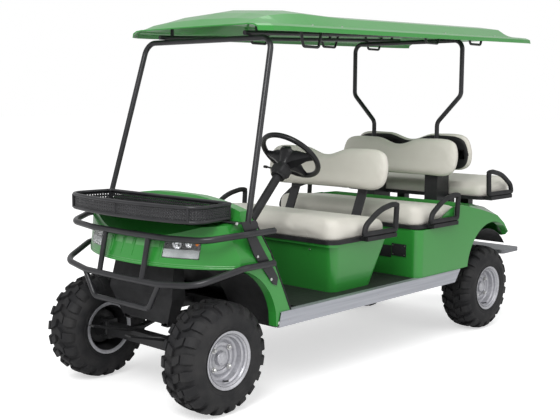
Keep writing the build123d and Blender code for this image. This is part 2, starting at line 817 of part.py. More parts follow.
def make_rear_opening(grow):
    """The rear wheel opening, its leg in front of the wheel, open to the rear below the tail."""
    centre_z = AXLE_Z + REAR_ARCH_RISE
    radius = REAR_ARCH_R + grow
    sweep_low = math.radians(172)
    front = (WHEELBASE + radius * math.cos(sweep_low), centre_z + radius * math.sin(sweep_low))
    rear = (WHEELBASE + radius * math.cos(math.radians(31)), centre_z + radius * math.sin(math.radians(31)))
    curve = ThreePointArc(front, (WHEELBASE, centre_z + radius), rear)
    rest = Polyline(
        rear,
        (rear[0], -BIG),
        (SILL_REAR_Y - 8 - grow, -BIG),
        (SILL_REAR_Y - 8 - grow, SILL_TOP_Z),
        front,
    )
    face = Plane.YZ.offset(-BIG) * make_face(Curve() + [curve, rest])
    return extrude(face, amount=2 * BIG)


def make_bay():
    """Opening in the shelf below the second bench."""
    return block(-BAY_HALF, BAY_HALF, BODY_FRONT_Y + 70, ROW_2_Y + ROW_2_DEPTH - 90, ROW_2_Z - 4 * SKIN, BIG)


def make_rear_body():
    shell = body_form(0) - body_form(SKIN)
    arch = make_rear_opening(0)
    side_band = block(BODY_HALF - 260, BODY_HALF, 0, BIG, 0, BIG)
    cut = arch & (side_band + mirror(side_band, Plane.YZ))
    flange = body_form(0) & (make_rear_opening(ARCH_FLANGE_T) - arch)
    keep = block(BODY_HALF - ARCH_FLANGE, BODY_HALF, 0, BIG, 0, BIG)
    flange_left = flange & keep
    body = shell - cut + flange_left + mirror(flange_left, Plane.YZ)
    return body - make_bay()


def make_liner(radius, centre_y, centre_z, start, end, x_low, x_high):
    """Curved black sheet over a wheel."""
    points = []
    for angle in (start, (start + end) / 2, end):
        turn = math.radians(angle)
        points.append((centre_y + radius * math.cos(turn), centre_z + radius * math.sin(turn)))
    outer = []
    for angle in (end, (start + end) / 2, start):
        turn = math.radians(angle)
        outer.append((centre_y + (radius + LINER_T) * math.cos(turn),
                      centre_z + (radius + LINER_T) * math.sin(turn)))
    wires = [ThreePointArc(*points), Line(points[2], outer[0]), ThreePointArc(*outer), Line(outer[2], points[0])]
    face = Plane.YZ.offset(x_low) * make_face(Curve() + wires)
    return extrude(face, amount=x_high - x_low)


def seat_plan(y_front, depth, corner):
    return Pos(0, y_front + depth / 2) * RectangleRounded(2 * SEAT_HALF, depth, corner)


def make_seat_base(y_front, depth, z_low):
    """Shallow black tray under a cushion."""
    tray = plan_plate(seat_plan(y_front, depth, CUSHION_CORNER), z_low, z_low + SEAT_BASE_T)
    return tray


def make_cushion(y_front, depth, z_low, facing):
    """Seat cushion, thinner towards the backrest; facing -1 has its sitter look forward."""
    gap = 8
    base_z = z_low + SEAT_BASE_T + RUN_GAP
    top_z = z_low + SEAT_BASE_T + CUSHION_T
    face = Pos(0, y_front + depth / 2) * RectangleRounded(
        2 * (SEAT_HALF - gap), depth - 2 * gap, CUSHION_CORNER)
    front_z = top_z if facing < 0 else top_z - CUSHION_TILT
    rear_z = top_z - CUSHION_TILT if facing < 0 else top_z
    side = [(y_front, base_z), (y_front, front_z), (y_front + depth, rear_z), (y_front + depth, base_z)]
    pad = plan_plate(face, base_z, top_z) & side_plate(side, -SEAT_HALF, SEAT_HALF)
    crown = pad.faces().sort_by(Axis.Z)[-1]
    return fillet(crown.edges(), CUSHION_EDGE)


def back_outline(inset):
    """Front view of a backrest: two humps with a dip between them."""
    half = BACK_HALF - inset
    low = inset
    high = BACK_HEIGHT - inset
    dip = high - BACK_DIP
    shoulder = high - BACK_CORNER * 0.75
    crown_right = ThreePointArc((0, dip), (HUMP_X * 0.45, dip + BACK_DIP * 0.55), (HUMP_X, high))
    slope_right = ThreePointArc((HUMP_X, high), ((HUMP_X + half) / 2 + 30, high - 12), (half - 8, shoulder))
    side_right = ThreePointArc((half - 8, shoulder), (half, high / 2), (half - 14, low + BACK_CORNER))
    foot_right = ThreePointArc((half - 14, low + BACK_CORNER), (half - 34, low + 18), (half - 80, low))
    right = [crown_right, slope_right, side_right, foot_right]
    bottom = Line((half - 80, low), (-half + 80, low))
    left = [mirror(edge, Plane.YZ) for edge in right]
    return make_face(Curve() + right + [bottom] + left)


def back_place(y_front, z_low, facing):
    """Backrest frame: local x across, local y up the rest; facing -1 looks forward, +1 looks rearward."""
    lean = math.radians(BACK_LEAN)
    up = (0, -facing * math.sin(lean), math.cos(lean))
    across = (1, 0, 0) if facing < 0 else (-1, 0, 0)
    normal = Vector(*across).cross(Vector(*up))
    return Plane(origin=(0, y_front, z_low), x_dir=across, z_dir=normal)


def make_back(y_front, z_low, facing):
    """Backrest cushion: its front face at the place, its body behind it."""
    place = back_place(y_front, z_low, facing)
    pad = extrude(place * back_outline(8), amount=-(BACK_T - SHELL_T))
    return pad


def make_shell(y_front, z_low, facing):
    """Black plastic shell on the back of a backrest."""
    place = back_place(y_front, z_low, facing).offset(-(BACK_T - SHELL_T + 0.3))
    return extrude(place * back_outline(0), amount=-SHELL_T)


def make_rest(y_rear, z_low, facing, foot_low, foot_high):
    """Left hip rest: a D-shaped loop of tube. facing -1 has its curve to the front, +1 to the rear."""
    span = REST_LENGTH - 2 * REST_R
    height = REST_HEIGHT - 2 * REST_R
    base_z = z_low + REST_R
    front_y = y_rear + facing * span
    points = [
        (REST_X, y_rear + facing * span / 2, base_z),
        (REST_X, front_y, base_z),
        (REST_X, front_y - facing * span * 0.22, base_z + height * 0.5),
        (REST_X, front_y - facing * span * 0.68, base_z + height * 0.94),
        (REST_X, y_rear, base_z + height),
        (REST_X, y_rear, base_z),
        (REST_X, y_rear + facing * (span / 2 - 1), base_z),
    ]
    path = FilletPolyline(*points, radius=[18, 60, 90, 18, 18])
    loop = sweep(Plane(origin=path @ 0, z_dir=path % 0) * Circle(REST_R), path=path)
    foot = block(SEAT_HALF + RUN_GAP, REST_X, foot_low, foot_high, z_low - SEAT_BASE_T, z_low + REST_R)
    return loop + foot


def make_post():
    """Left post of the first backrest: from the pod's rear wall up the back of the shell."""
    lean = math.tan(math.radians(BACK_LEAN))
    shell_y = BACK_1_Y + (BACK_T + 2 * RUN_GAP) / math.cos(math.radians(BACK_LEAN))
    bend_z = POST_FOOT_Z + 55
    front = [
        (pod_rear_y(POST_FOOT_Z) + RUN_GAP, POST_FOOT_Z),
        (pod_rear_y(bend_z) + RUN_GAP, bend_z),
        (shell_y - SHELL_T * lean, BACK_1_Z - SHELL_T),
        (shell_y + (POST_TOP_Z - BACK_1_Z) * lean, POST_TOP_Z),
    ]
    rear = [(y + POST_T, z) for y, z in reversed(front)]
    return side_plate(front + rear, POST_X - POST_WIDTH / 2, POST_X + POST_WIDTH / 2)


def make_back_support():
    """Left box round the rear hoop's leg; the second and third backrests bolt to its faces."""
    lean = math.tan(math.radians(BACK_LEAN))
    depth = (BACK_T + 2 * RUN_GAP) / math.cos(math.radians(BACK_LEAN))
    low_front = BACK_2_Y + depth
    low_rear = BACK_3_Y - depth
    def form(inset, extra):
        front_top = low_front + (SUPPORT_TOP_Z - BACK_2_Z) * lean
        rear_top = low_rear - (SUPPORT_TOP_Z - BACK_3_Z) * lean
        outline = [
            (low_front + inset, interpolate(DECK_LINE, low_front) + RUN_GAP - extra),
            (low_front + inset, BACK_2_Z),
            (front_top + inset, SUPPORT_TOP_Z + extra),
            (rear_top - inset, SUPPORT_TOP_Z + extra),
            (low_rear - inset, BACK_3_Z),
            (low_rear - inset, interpolate(DECK_LINE, low_rear) + RUN_GAP - extra),
        ]
        half = SUPPORT_HALF - inset
        return side_plate(outline, HOOP_NECK_X - half, HOOP_NECK_X + half)
    cap = block(HOOP_NECK_X - SUPPORT_HALF + 1, HOOP_NECK_X + SUPPORT_HALF - 1, low_front + 2, low_rear - 2,
                BACK_2_Z, BACK_2_Z + SUPPORT_WALL)
    leg = Pos(HOOP_NECK_X, HOOP_Y, BACK_2_Z) * Cylinder(TUBE_R + RUN_GAP, 4 * SUPPORT_WALL)
    return form(0, 0) - form(SUPPORT_WALL, 20) + (cap - leg)


def make_bench_supports():
    """Blocks between the rear deck and the rear-facing bench's tray."""
    supports = []
    deck = body_form(0)
    # station of each block's front and rear face
    for y_low, y_high in [(ROW_3_Y + 30, ROW_3_Y + 90), (ROW_3_Y + 270, ROW_3_Y + 330)]:
        leg = block(POST_X - POST_WIDTH / 2, POST_X + POST_WIDTH / 2, y_low, y_high, ROW_2_Z, ROW_3_Z - RUN_GAP)
        supports += both_sides(leg - deck)
    return supports


# ---- roof


def roof_section(half, base_z, crown, inset):
    """Half-width profile of the roof sheet: rounded flange, gutter step and crowned centre panel."""
    flange_z = base_z + ROOF_EDGE
    panel = min(ROOF_PANEL_HALF, half - 80)
    left = [
        (half - inset, base_z),
        (half - 6 - inset, flange_z - 12 - inset),
        (half - 34 - inset * 0.6, flange_z - inset),
        (half - 78 - inset * 0.4, flange_z - inset + min(crown, 6)),
        (panel - 12, flange_z - inset + crown * 0.62),
        (panel * 0.62, flange_z - inset + crown * 0.86),
        (0, flange_z - inset + crown),
    ]
    right = [(-x, z) for x, z in reversed(left[:-1])]
    return left + right


def roof_stations():
    """Station, share of the half-width and crown height of each roof section."""
    front_run = ROOF_CROWN_Y - ROOF_FRONT_Y
    fall = ROOF_CROWN - ROOF_PANEL_RISE
    rows = [(ROOF_FRONT_Y, 0.90, 4)]
    for share in (0.15, 0.4, 0.7):
        rows.append((ROOF_FRONT_Y + front_run * share, min(1, 0.95 + share / 5),
                     ROOF_CROWN * math.sin(math.pi / 2 * share ** 0.7)))
    rows.append((ROOF_CROWN_Y, 1, ROOF_CROWN))
    rows.append((ROOF_CROWN_Y + 180, 1, ROOF_CROWN - fall * 0.5))
    rows.append((ROOF_CROWN_Y + 380, 1, ROOF_PANEL_RISE))
    rows.append((ROOF_REAR_Y - 230, 1, ROOF_PANEL_RISE))
    rows.append((ROOF_REAR_Y - 150, 1, ROOF_PANEL_RISE * 0.3))
    rows.append((ROOF_REAR_Y - 40, 0.985, 8))
    rows.append((ROOF_REAR_Y, 0.95, 2))
    return rows


def make_roof():
    slope = (ROOF_REAR_Z - ROOF_FRONT_Z) / (ROOF_REAR_Y - ROOF_FRONT_Y)
    outer_faces = []
    inner_faces = []
    for station, share, crown in roof_stations():
        base_z = ROOF_FRONT_Z + slope * (station - ROOF_FRONT_Y)
        half = ROOF_HALF * share
        plane = Plane.XZ.offset(-station)
        outer_faces.append(plane * make_face(Polyline(*roof_section(half, base_z, crown, 0), close=True)))
        inner = roof_section(half, base_z, crown, ROOF_SKIN)
        inner = [(x, z - 1 if z == base_z else z) for x, z in inner]
        inner_faces.append(plane * make_face(Polyline(*inner, close=True)))
    return loft(outer_faces, ruled=True) - loft(inner_faces, ruled=True)


def make_front_frame():
    """Front hoop: two raked struts and the tube across their tops."""
    points = [
        (STRUT_FOOT_X, STRUT_FOOT_Y, STRUT_FOOT_Z),
        (STRUT_TOP_X, STRUT_TOP_Y, STRUT_TOP_Z),
        (-STRUT_TOP_X, STRUT_TOP_Y, STRUT_TOP_Z),
        (-STRUT_FOOT_X, STRUT_FOOT_Y, STRUT_FOOT_Z),
    ]
    return tube(points, TUBE_R, STRUT_BEND)


def make_rear_frame():
    """Rear hoop: upright sides, a neck drawn in and two legs down between the benches."""
    foot_z = interpolate(DECK_LINE, HOOP_Y) + 0.15 * TUBE_R + RUN_GAP
    points = [
        (HOOP_NECK_X, HOOP_Y, foot_z),
        (HOOP_NECK_X, HOOP_Y, HOOP_NECK_Z),
        (HOOP_HALF, HOOP_Y, HOOP_BEND_Z),
        (HOOP_HALF, HOOP_Y, HOOP_TOP_Z),
        (-HOOP_HALF, HOOP_Y, HOOP_TOP_Z),
        (-HOOP_HALF, HOOP_Y, HOOP_BEND_Z),
        (-HOOP_NECK_X, HOOP_Y, HOOP_NECK_Z),
        (-HOOP_NECK_X, HOOP_Y, foot_z),
    ]
    return tube(points, TUBE_R, HOOP_BEND)


def make_roof_rail():
    """Left roof rail, from the front hoop over the rear hoop."""
    slope = (HOOP_TOP_Z - STRUT_TOP_Z) / (HOOP_Y - STRUT_TOP_Y)
    rise = TUBE_R + ROOF_RAIL_R + RUN_GAP
    start_y = STRUT_TOP_Y - 40
    end_y = HOOP_Y + 380
    start = (ROOF_RAIL_X, start_y, STRUT_TOP_Z + rise + slope * (start_y - STRUT_TOP_Y))
    end = (ROOF_RAIL_X, end_y, STRUT_TOP_Z + rise + slope * (end_y - STRUT_TOP_Y))
    path = Line(start, end)
    rail = sweep(Plane(origin=path @ 0, z_dir=path % 0) * Circle(ROOF_RAIL_R), path=path)
    for share in (0.04, 0.35, 0.65, 0.96):
        place = path @ share
        top = roof_underside(ROOF_RAIL_X, place.Y) + ROOF_SKIN / 2
        rail = rail + Pos(ROOF_RAIL_X, place.Y, (place.Z + top) / 2) * Cylinder(ROOF_RAIL_R * 0.8, top - place.Z)
    return rail


def roof_underside(x, station):
    """Height of the roof sheet's underside at a place inside its edge."""
    stations = roof_stations()
    slope = (ROOF_REAR_Z - ROOF_FRONT_Z) / (ROOF_REAR_Y - ROOF_FRONT_Y)
    half = ROOF_HALF * interpolate([(row[0], row[1]) for row in stations], station)
    crown = interpolate([(row[0], row[2]) for row in stations], station)
    section = roof_section(half, ROOF_FRONT_Z + slope * (station - ROOF_FRONT_Y), crown, ROOF_SKIN)
    right = [point for point in section if point[0] <= 0]
    return interpolate([(-point[0], point[1]) for point in right], x)


def make_handle(station, drop):
    """Left grab handle: a tapered loop hung from the roof's underside."""
    half = HANDLE_WIDTH / 2
    end_rise = HANDLE_R
    low = roof_underside(HANDLE_X, station) - drop + HANDLE_R
    points = [
        (HANDLE_X, station - half, roof_underside(HANDLE_X, station - half) + end_rise),
        (HANDLE_X, station - half * 0.62, low),
        (HANDLE_X, station + half * 0.62, low),
        (HANDLE_X, station + half, roof_underside(HANDLE_X, station + half) + end_rise),
    ]
    return tube(points, HANDLE_R, 16)


# ---- guard, basket, brackets and step


def guard_bar(front_y, z, side_z):
    """One bar round the nose: a slightly bowed front, rising sides, ends on the brackets."""
    bow = 10
    half = [
        (GUARD_HALF, GUARD_REAR_Y, side_z),
        (GUARD_HALF, NOSE_SIDE_Y, side_z),
        (GUARD_CORNER, front_y + 50, z + (side_z - z) * 0.22),
        (GUARD_CORNER - 230, front_y + bow, z),
        (0, front_y, z),
    ]
    other = [(-x, y, level) for x, y, level in reversed(half[:-1])]
    path = FilletPolyline(*half, *other, radius=[110, 130, 260, 900, 260, 130, 110])
    return sweep(Plane(origin=path @ 0, z_dir=path % 0) * Circle(GUARD_R), path=path)


def guard_front_y(front_y, x):
    """Station of a guard bar's centre line near the middle of the cart."""
    return front_y + 10 * x / (GUARD_CORNER - 230)


def make_guard_post(upper):
    """Left upright from the lower guard bar to the upper one's round side."""
    low = Vector(GUARD_POST_X, guard_front_y(GUARD_LOWER_Y, GUARD_POST_X), GUARD_LOWER_Z)
    high = Vector(GUARD_POST_X, guard_front_y(GUARD_UPPER_Y, GUARD_POST_X), GUARD_UPPER_Z)
    path = Line(low, high)
    post = sweep(Plane(origin=path @ 0, z_dir=path % 0) * Circle(GUARD_R - 2), path=path)
    return post - upper


def make_u_bar():
    """Bar that hangs in a U below the lower guard bar."""
    top_y = guard_front_y(GUARD_LOWER_Y, U_BAR_HALF)
    points = [
        (U_BAR_HALF, top_y, GUARD_LOWER_Z),
        (U_BAR_HALF - 80, top_y, U_BAR_Z),
        (-U_BAR_HALF + 80, top_y, U_BAR_Z),
        (-U_BAR_HALF, top_y, GUARD_LOWER_Z),
    ]
    return tube(points, GUARD_R - 2, 45)


def basket_face(inset):
    corner_y = BASKET_FRONT_Y + 70
    half = BASKET_HALF - inset
    rear_half = BASKET_REAR_HALF - inset
    front = ThreePointArc((half, corner_y), (0, BASKET_FRONT_Y + inset), (-half, corner_y))
    rest = Polyline((-half, corner_y), (-rear_half, BASKET_REAR_Y - inset), (rear_half, BASKET_REAR_Y - inset),
                    (half, corner_y))
    face = make_face(Curve() + [front, rest])
    return fillet(face.vertices(), 30)


def make_basket():
    """Sheet tray with a tube round its top edge."""
    wall = plan_plate(basket_face(0), BASKET_BOTTOM_Z, BASKET_TOP_Z)
    room = plan_plate(basket_face(BASKET_WALL), BASKET_BOTTOM_Z + BASKET_WALL, BASKET_TOP_Z + 1)
    tray = wall - room
    for level in (BASKET_BOTTOM_Z, BASKET_TOP_Z):
        outer = plan_plate(basket_face(-BASKET_R), level - BASKET_R, level + BASKET_R)
        inner = plan_plate(basket_face(BASKET_R), level - BASKET_R - 1, level + BASKET_R + 1)
        tray = tray + (outer - inner)
    return tray


def make_bracket(strut):
    """Left flat bar from the strut's foot down the cowl's leg, with the bolt that holds the strut."""
    half = BRACKET_WIDTH / 2
    top = (82, BASKET_BOTTOM_Z - 4)
    middle = (GUARD_REAR_Y - 95, GUARD_UPPER_Z - 75)
    foot = (GUARD_REAR_Y + 30, LIP_Z - 82)
    points = [
        (top[0] - half, top[1]),
        (top[0] + half, top[1]),
        (middle[0] + half, middle[1] + half),
        (foot[0] + half * 0.7, foot[1] + half * 0.5),
        (foot[0] + half * 0.3, foot[1] - half),
        (foot[0] - half * 0.7, foot[1] - half * 0.6),
        (middle[0] - half, middle[1] - half * 0.5),
    ]
    plate = side_plate(points, COWL_HALF, COWL_HALF + BRACKET_T)
    bolt_y = STRUT_FOOT_Y + BRACKET_BOLT_R / 2
    bolt_z = STRUT_FOOT_Z + 2 * BRACKET_BOLT_R
    plate = plate + cylinder_x(half, COWL_HALF, COWL_HALF + BRACKET_T, bolt_y, bolt_z)
    bolt = cylinder_x(BRACKET_BOLT_R, STRUT_FOOT_X, COWL_HALF + BRACKET_T, bolt_y, bolt_z)
    plate = plate + trimmed(bolt, strut)
    strap_z = BASKET_BOTTOM_Z - BASKET_R - RUN_GAP
    strap = block(BASKET_REAR_HALF - 40, COWL_HALF + BRACKET_T, top[0] - half, top[0] + half - 12, strap_z - 5, strap_z)
    return plate + strap


def make_step():
    """Footplate behind the tail on two arms from the rails."""
    plate = plan_plate(
        Pos(0, STEP_Y + STEP_DEPTH / 2) * RectangleRounded(2 * STEP_HALF, STEP_DEPTH, 30), STEP_Z, STEP_Z + STEP_T)
    arm = block(RAIL_X - 20, RAIL_X + 20, RAIL_REAR_Y, STEP_Y + STEP_DEPTH - 40, STEP_Z - 40, STEP_Z)
    return plate + arm + mirror(arm, Plane.YZ)


# ---- steering


def column_plane():
    tilt = math.radians(COLUMN_ANGLE)
    return Plane(origin=(COLUMN_X, WHEEL_HUB_Y, WHEEL_HUB_Z), x_dir=(1, 0, 0),
                 z_dir=(0, math.cos(tilt), math.sin(tilt)))


def make_steering_wheel():
    """Rim, three flat spokes and a deep hub on the column's axis."""
    frame = column_plane()
    hub = Pos(0, 0, SPOKE_WIDTH / 10 - STEER_HUB_DEPTH / 2) * Cone(COLUMN_R + 8, STEER_HUB_R, STEER_HUB_DEPTH)
    wheel = Torus(STEER_R, STEER_RIM_R) + hub
    for turn in (0, 90, 180):
        spoke = Rot(0, 0, turn) * Pos(STEER_R / 2, 0, 0) * Box(STEER_R, SPOKE_WIDTH, SPOKE_WIDTH / 6)
        wheel = wheel + spoke
    return frame * wheel


def make_column():
    """Column tube with a collar under the wheel and a foot bolted to the firewall's slope."""
    frame = column_plane()
    top = SPOKE_WIDTH / 10 - STEER_HUB_DEPTH - RUN_GAP
    length = COLUMN_LENGTH + 4 * COLUMN_R
    column = Pos(0, 0, top - length / 2) * Cylinder(COLUMN_R, length)
    collar = Pos(0, 0, top - COLLAR_LENGTH / 2 - 1) * Cylinder(COLUMN_R + COLLAR_RISE, COLLAR_LENGTH)
    (high_y, high_z), (low_y, low_z) = firewall_slope()
    foot_points = []
    for share, offset in ((0.08, 0), (0.5, 0), (0.5, COLUMN_FOOT_T), (0.08, COLUMN_FOOT_T)):
        foot_points.append((high_y + (low_y - high_y) * share + RUN_GAP + offset, high_z + (low_z - high_z) * share))
    foot = side_plate(foot_points, COLUMN_X - COLUMN_FOOT_HALF, COLUMN_X + COLUMN_FOOT_HALF)
    ahead = side_plate(
        [
            (high_y - length, high_z),
            (high_y + RUN_GAP, high_z),
            (low_y + RUN_GAP, low_z),
            (high_y - length, low_z),
        ],
        COLUMN_X - COLUMN_FOOT_HALF,
        COLUMN_X + COLUMN_FOOT_HALF,
    )
    return frame * (column + collar) - ahead + foot


def run():
    os.makedirs("parts", exist_ok=True)
    make_wheels()
    knuckle = make_knuckle()
    save("knuckle_left", knuckle)
    save("knuckle_right", mirror(knuckle, Plane.YZ))
    save("front_axle", make_front_axle())
    save("rear_axle", make_rear_axle())
    hub = make_rear_hub()
    save("hub_rear_left", hub)
    save("hub_rear_right", mirror(hub, Plane.YZ))
    front_spring = make_spring(0, AXLE_BEAM / 2)
    rear_spring = make_spring(WHEELBASE, AXLE_TUBE_R)
    save("leaf_springs", *both_sides(front_spring), *both_sides(rear_spring))
    save("chassis_frame", make_chassis())
    save("floor_deck", make_deck())
    save("floor_mat", make_mat())
    save("sills", *both_sides(make_sill()))
    lamp_hole = make_lamp_hole()
    save("front_cowl", make_cowl() - lamp_hole - mirror(lamp_hole, Plane.YZ))
    save("headlamps", *both_sides(make_lamp()))
    save("dashboard", make_dashboard())
    save("firewall", make_firewall())
    save("front_apron", make_apron())
    front_liner = make_liner(LINER_R, 0, AXLE_Z + 60, 5, 75, RAIL_X + 60, COWL_HALF - ARCH_FLANGE)
    rear_liner = make_liner(REAR_ARCH_R + LINER_CLEARANCE, WHEELBASE, AXLE_Z + 60, 40, 175, RAIL_X + 60,
                            BODY_HALF - ARCH_FLANGE)
    save("front_liners", *both_sides(front_liner))
    save("rear_liners", *both_sides(rear_liner))
    save("seat_pod", make_pod())
    save("rear_body", make_rear_body())
    save("battery_block", make_battery())
    # row, station of the front edge, depth, height of the tray's underside, way the sitter faces
    benches = [(1, ROW_1_Y, ROW_1_DEPTH, ROW_1_Z, -1), (2, ROW_2_Y, ROW_2_DEPTH, ROW_2_Z, -1),
               (3, ROW_3_Y, ROW_3_DEPTH, ROW_3_Z, 1)]
    for row, y_front, depth, z_low, facing in benches:
        save(f"seat_base_{row}", make_seat_base(y_front, depth, z_low))
        save(f"seat_cushion_{row}", make_cushion(y_front, depth, z_low, facing))
    # row, station of the pad's face at its foot, height of the foot, way it faces
    backs = [(1, BACK_1_Y, BACK_1_Z, -1), (2, BACK_2_Y, BACK_2_Z, -1), (3, BACK_3_Y, BACK_3_Z, 1)]
    for row, y_front, z_low, facing in backs:
        save(f"seat_back_{row}", make_back(y_front, z_low, facing))
        save(f"back_shell_{row}", make_shell(y_front, z_low, facing))
    save("back_posts", *both_sides(make_post()))
    save("back_supports", *both_sides(make_back_support()))
    save("bench_supports", *make_bench_supports())
    # row, station of the upright leg, height of the tray's underside, way the curve faces, span of the foot
    rests = [
        (1, ROW_1_Y + ROW_1_DEPTH + 16, ROW_1_Z, -1, ROW_1_Y + 230, ROW_1_Y + ROW_1_DEPTH - 20),
        (2, ROW_2_Y + ROW_2_DEPTH - 114, ROW_2_Z, -1, ROW_2_Y + 90, ROW_2_Y + 165),
        (3, ROW_3_Y, ROW_3_Z, 1, ROW_3_Y + 60, ROW_3_Y + 300),
    ]
    for row, y_rear, z_low, facing, foot_low, foot_high in rests:
        rest = make_rest(y_rear, z_low + SEAT_BASE_T + 2, facing, foot_low, foot_high)
        save(f"hip_rests_{row}", *both_sides(rest))
    roof = make_roof()
    front_frame = make_front_frame()
    save("roof", roof)
    save("front_roof_frame", front_frame)
    save("rear_roof_frame", make_rear_frame())
    save("roof_rails", *both_sides(trimmed(make_roof_rail(), roof)))
    # side (+1 left, -1 right), station, hang below the roof
    handles = [(1, 755, 144), (1, 1910, 90), (1, 2425, 86), (-1, 1240, 80), (-1, 1935, 87), (-1, 2440, 93)]
    loops = []
    for side, station, drop in handles:
        handle = trimmed(make_handle(station, drop), roof)
        loops.append(handle if side > 0 else mirror(handle, Plane.YZ))
    save("grab_handles", *loops)
    upper = guard_bar(GUARD_UPPER_Y, GUARD_UPPER_Z, GUARD_UPPER_Z + GUARD_UPPER_RISE)
    lower = guard_bar(GUARD_LOWER_Y, GUARD_LOWER_Z, GUARD_LOWER_Z + GUARD_SIDE_RISE)
    post = make_guard_post(upper)
    save("guard_upper_bar", upper)
    save("guard_lower_bar", lower + make_u_bar() + post + mirror(post, Plane.YZ))
    save("basket", make_basket())
    save("guard_brackets", *both_sides(make_bracket(front_frame)))
    save("rear_step", make_step())
    save("steering_column", make_column())
    save("steering_wheel", make_steering_wheel())


run()
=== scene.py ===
import json
import math

import bpy
import bmesh
import numpy as np
from mathutils import Matrix, Vector

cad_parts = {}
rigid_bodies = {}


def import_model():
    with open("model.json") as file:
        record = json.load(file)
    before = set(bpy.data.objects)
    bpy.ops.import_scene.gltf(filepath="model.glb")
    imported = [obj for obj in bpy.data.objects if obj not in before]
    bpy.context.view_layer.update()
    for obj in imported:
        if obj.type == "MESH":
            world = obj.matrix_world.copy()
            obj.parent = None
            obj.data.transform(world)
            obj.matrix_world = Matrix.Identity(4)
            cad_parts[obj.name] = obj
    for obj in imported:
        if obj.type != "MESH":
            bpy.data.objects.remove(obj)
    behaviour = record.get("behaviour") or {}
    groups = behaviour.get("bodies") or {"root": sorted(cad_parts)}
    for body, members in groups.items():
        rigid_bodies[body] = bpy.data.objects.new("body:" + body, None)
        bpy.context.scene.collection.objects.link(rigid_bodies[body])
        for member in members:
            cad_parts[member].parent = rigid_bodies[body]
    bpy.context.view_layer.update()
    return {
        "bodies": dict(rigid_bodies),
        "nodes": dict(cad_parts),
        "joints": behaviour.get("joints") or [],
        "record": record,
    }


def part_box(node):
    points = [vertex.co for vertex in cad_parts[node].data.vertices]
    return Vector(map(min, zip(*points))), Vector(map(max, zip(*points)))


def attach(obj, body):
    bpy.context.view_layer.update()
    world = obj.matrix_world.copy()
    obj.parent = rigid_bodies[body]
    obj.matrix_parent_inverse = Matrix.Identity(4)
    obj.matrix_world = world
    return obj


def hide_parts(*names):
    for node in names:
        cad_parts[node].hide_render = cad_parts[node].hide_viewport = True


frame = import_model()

# Golf cart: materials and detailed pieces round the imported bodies.
# MM turns millimetres into metres; MIDDLE is the station of the origin behind the front axle.
MM = 0.001
MIDDLE = 1447.5
NODES = frame["nodes"]


def at(x, station, z):
    """A place given in millimetres across, behind the front axle and above the ground."""
    return Vector((x, station - MIDDLE, z)) * MM


# ---- camera

CAMERA_AT = at(3701.6, -3058.2, 1536.3)
CAMERA_FORWARD = Vector((-0.670737, 0.732102, -0.118905))
CAMERA_RIGHT = Vector((0.736783, 0.676097, 0.006599))
FOCAL_PIXELS = 930.2
FRAME_PIXELS = 560


def make_camera():
    data = bpy.data.cameras.new("camera")
    data.sensor_fit = "HORIZONTAL"
    data.sensor_width = 36
    data.lens = FOCAL_PIXELS * data.sensor_width / FRAME_PIXELS
    data.clip_end = 200
    camera = bpy.data.objects.new("camera", data)
    bpy.context.scene.collection.objects.link(camera)
    forward = CAMERA_FORWARD.normalized()
    right = (CAMERA_RIGHT - forward * CAMERA_RIGHT.dot(forward)).normalized()
    up = right.cross(forward)
    turn = Matrix((right, up, -forward)).transposed().to_4x4()
    camera.matrix_world = Matrix.Translation(CAMERA_AT) @ turn
    bpy.context.scene.camera = camera


make_camera()

# ---- materials


class Nodes:
    """A material under construction: small helpers over its node tree."""

    def __init__(self, name):
        self.material = bpy.data.materials.new(name)
        self.material.use_nodes = True
        self.tree = self.material.node_tree
        self.shader = self.tree.nodes["Principled BSDF"]
        self.coords = self.new("ShaderNodeTexCoord").outputs["Object"]

    def new(self, kind, **inputs):
        node = self.tree.nodes.new(kind)
        for key, value in inputs.items():
            self.put(node.inputs[key.replace("_", " ")], value)
        return node

    def put(self, socket, value):
        if isinstance(value, bpy.types.NodeSocket):
            self.tree.links.new(value, socket)
        else:
            socket.default_value = value

    def stretched(self, scale):
        mapping = self.new("ShaderNodeMapping", Vector=self.coords)
        mapping.inputs["Scale"].default_value = scale
        return mapping.outputs["Vector"]

    def noise(self, scale, detail=3.0, stretch=None):
        where = self.stretched(stretch) if stretch else self.coords
        return self.new("ShaderNodeTexNoise", Vector=where, Scale=scale, Detail=detail).outputs["Fac"]

    def cells(self, scale, feature="F1", stretch=None):
        where = self.stretched(stretch) if stretch else self.coords
        node = self.new("ShaderNodeTexVoronoi", Vector=where, Scale=scale)
        node.feature = feature
        return node.outputs["Distance"]

    def span(self, value, low, high, first=0.0, last=1.0):
        node = self.new("ShaderNodeMapRange", Value=value)
        node.inputs["From Min"].default_value = first
        node.inputs["From Max"].default_value = last
        node.inputs["To Min"].default_value = low
        node.inputs["To Max"].default_value = high
        return node.outputs["Result"]

    def mix(self, share, first, second):
        node = self.new("ShaderNodeMix")
        node.data_type = "RGBA"
        self.put(node.inputs[0], share)
        self.put(node.inputs[6], first)
        self.put(node.inputs[7], second)
        return node.outputs[2]

    def math(self, operation, first, second=0.0):
        node = self.new("ShaderNodeMath")
        node.operation = operation
        self.put(node.inputs[0], first)
        self.put(node.inputs[1], second)
        return node.outputs[0]

    def bump(self, height, strength, distance):
        node = self.new("ShaderNodeBump", Height=height, Strength=strength, Distance=distance)
        self.put(self.shader.inputs["Normal"], node.outputs["Normal"])

    def finish(self, **sockets):
        for key, value in sockets.items():
            self.put(self.shader.inputs[key.replace("_", " ")], value)
        return self.material


def rgb(red, green, blue):
    return (red, green, blue, 1.0)


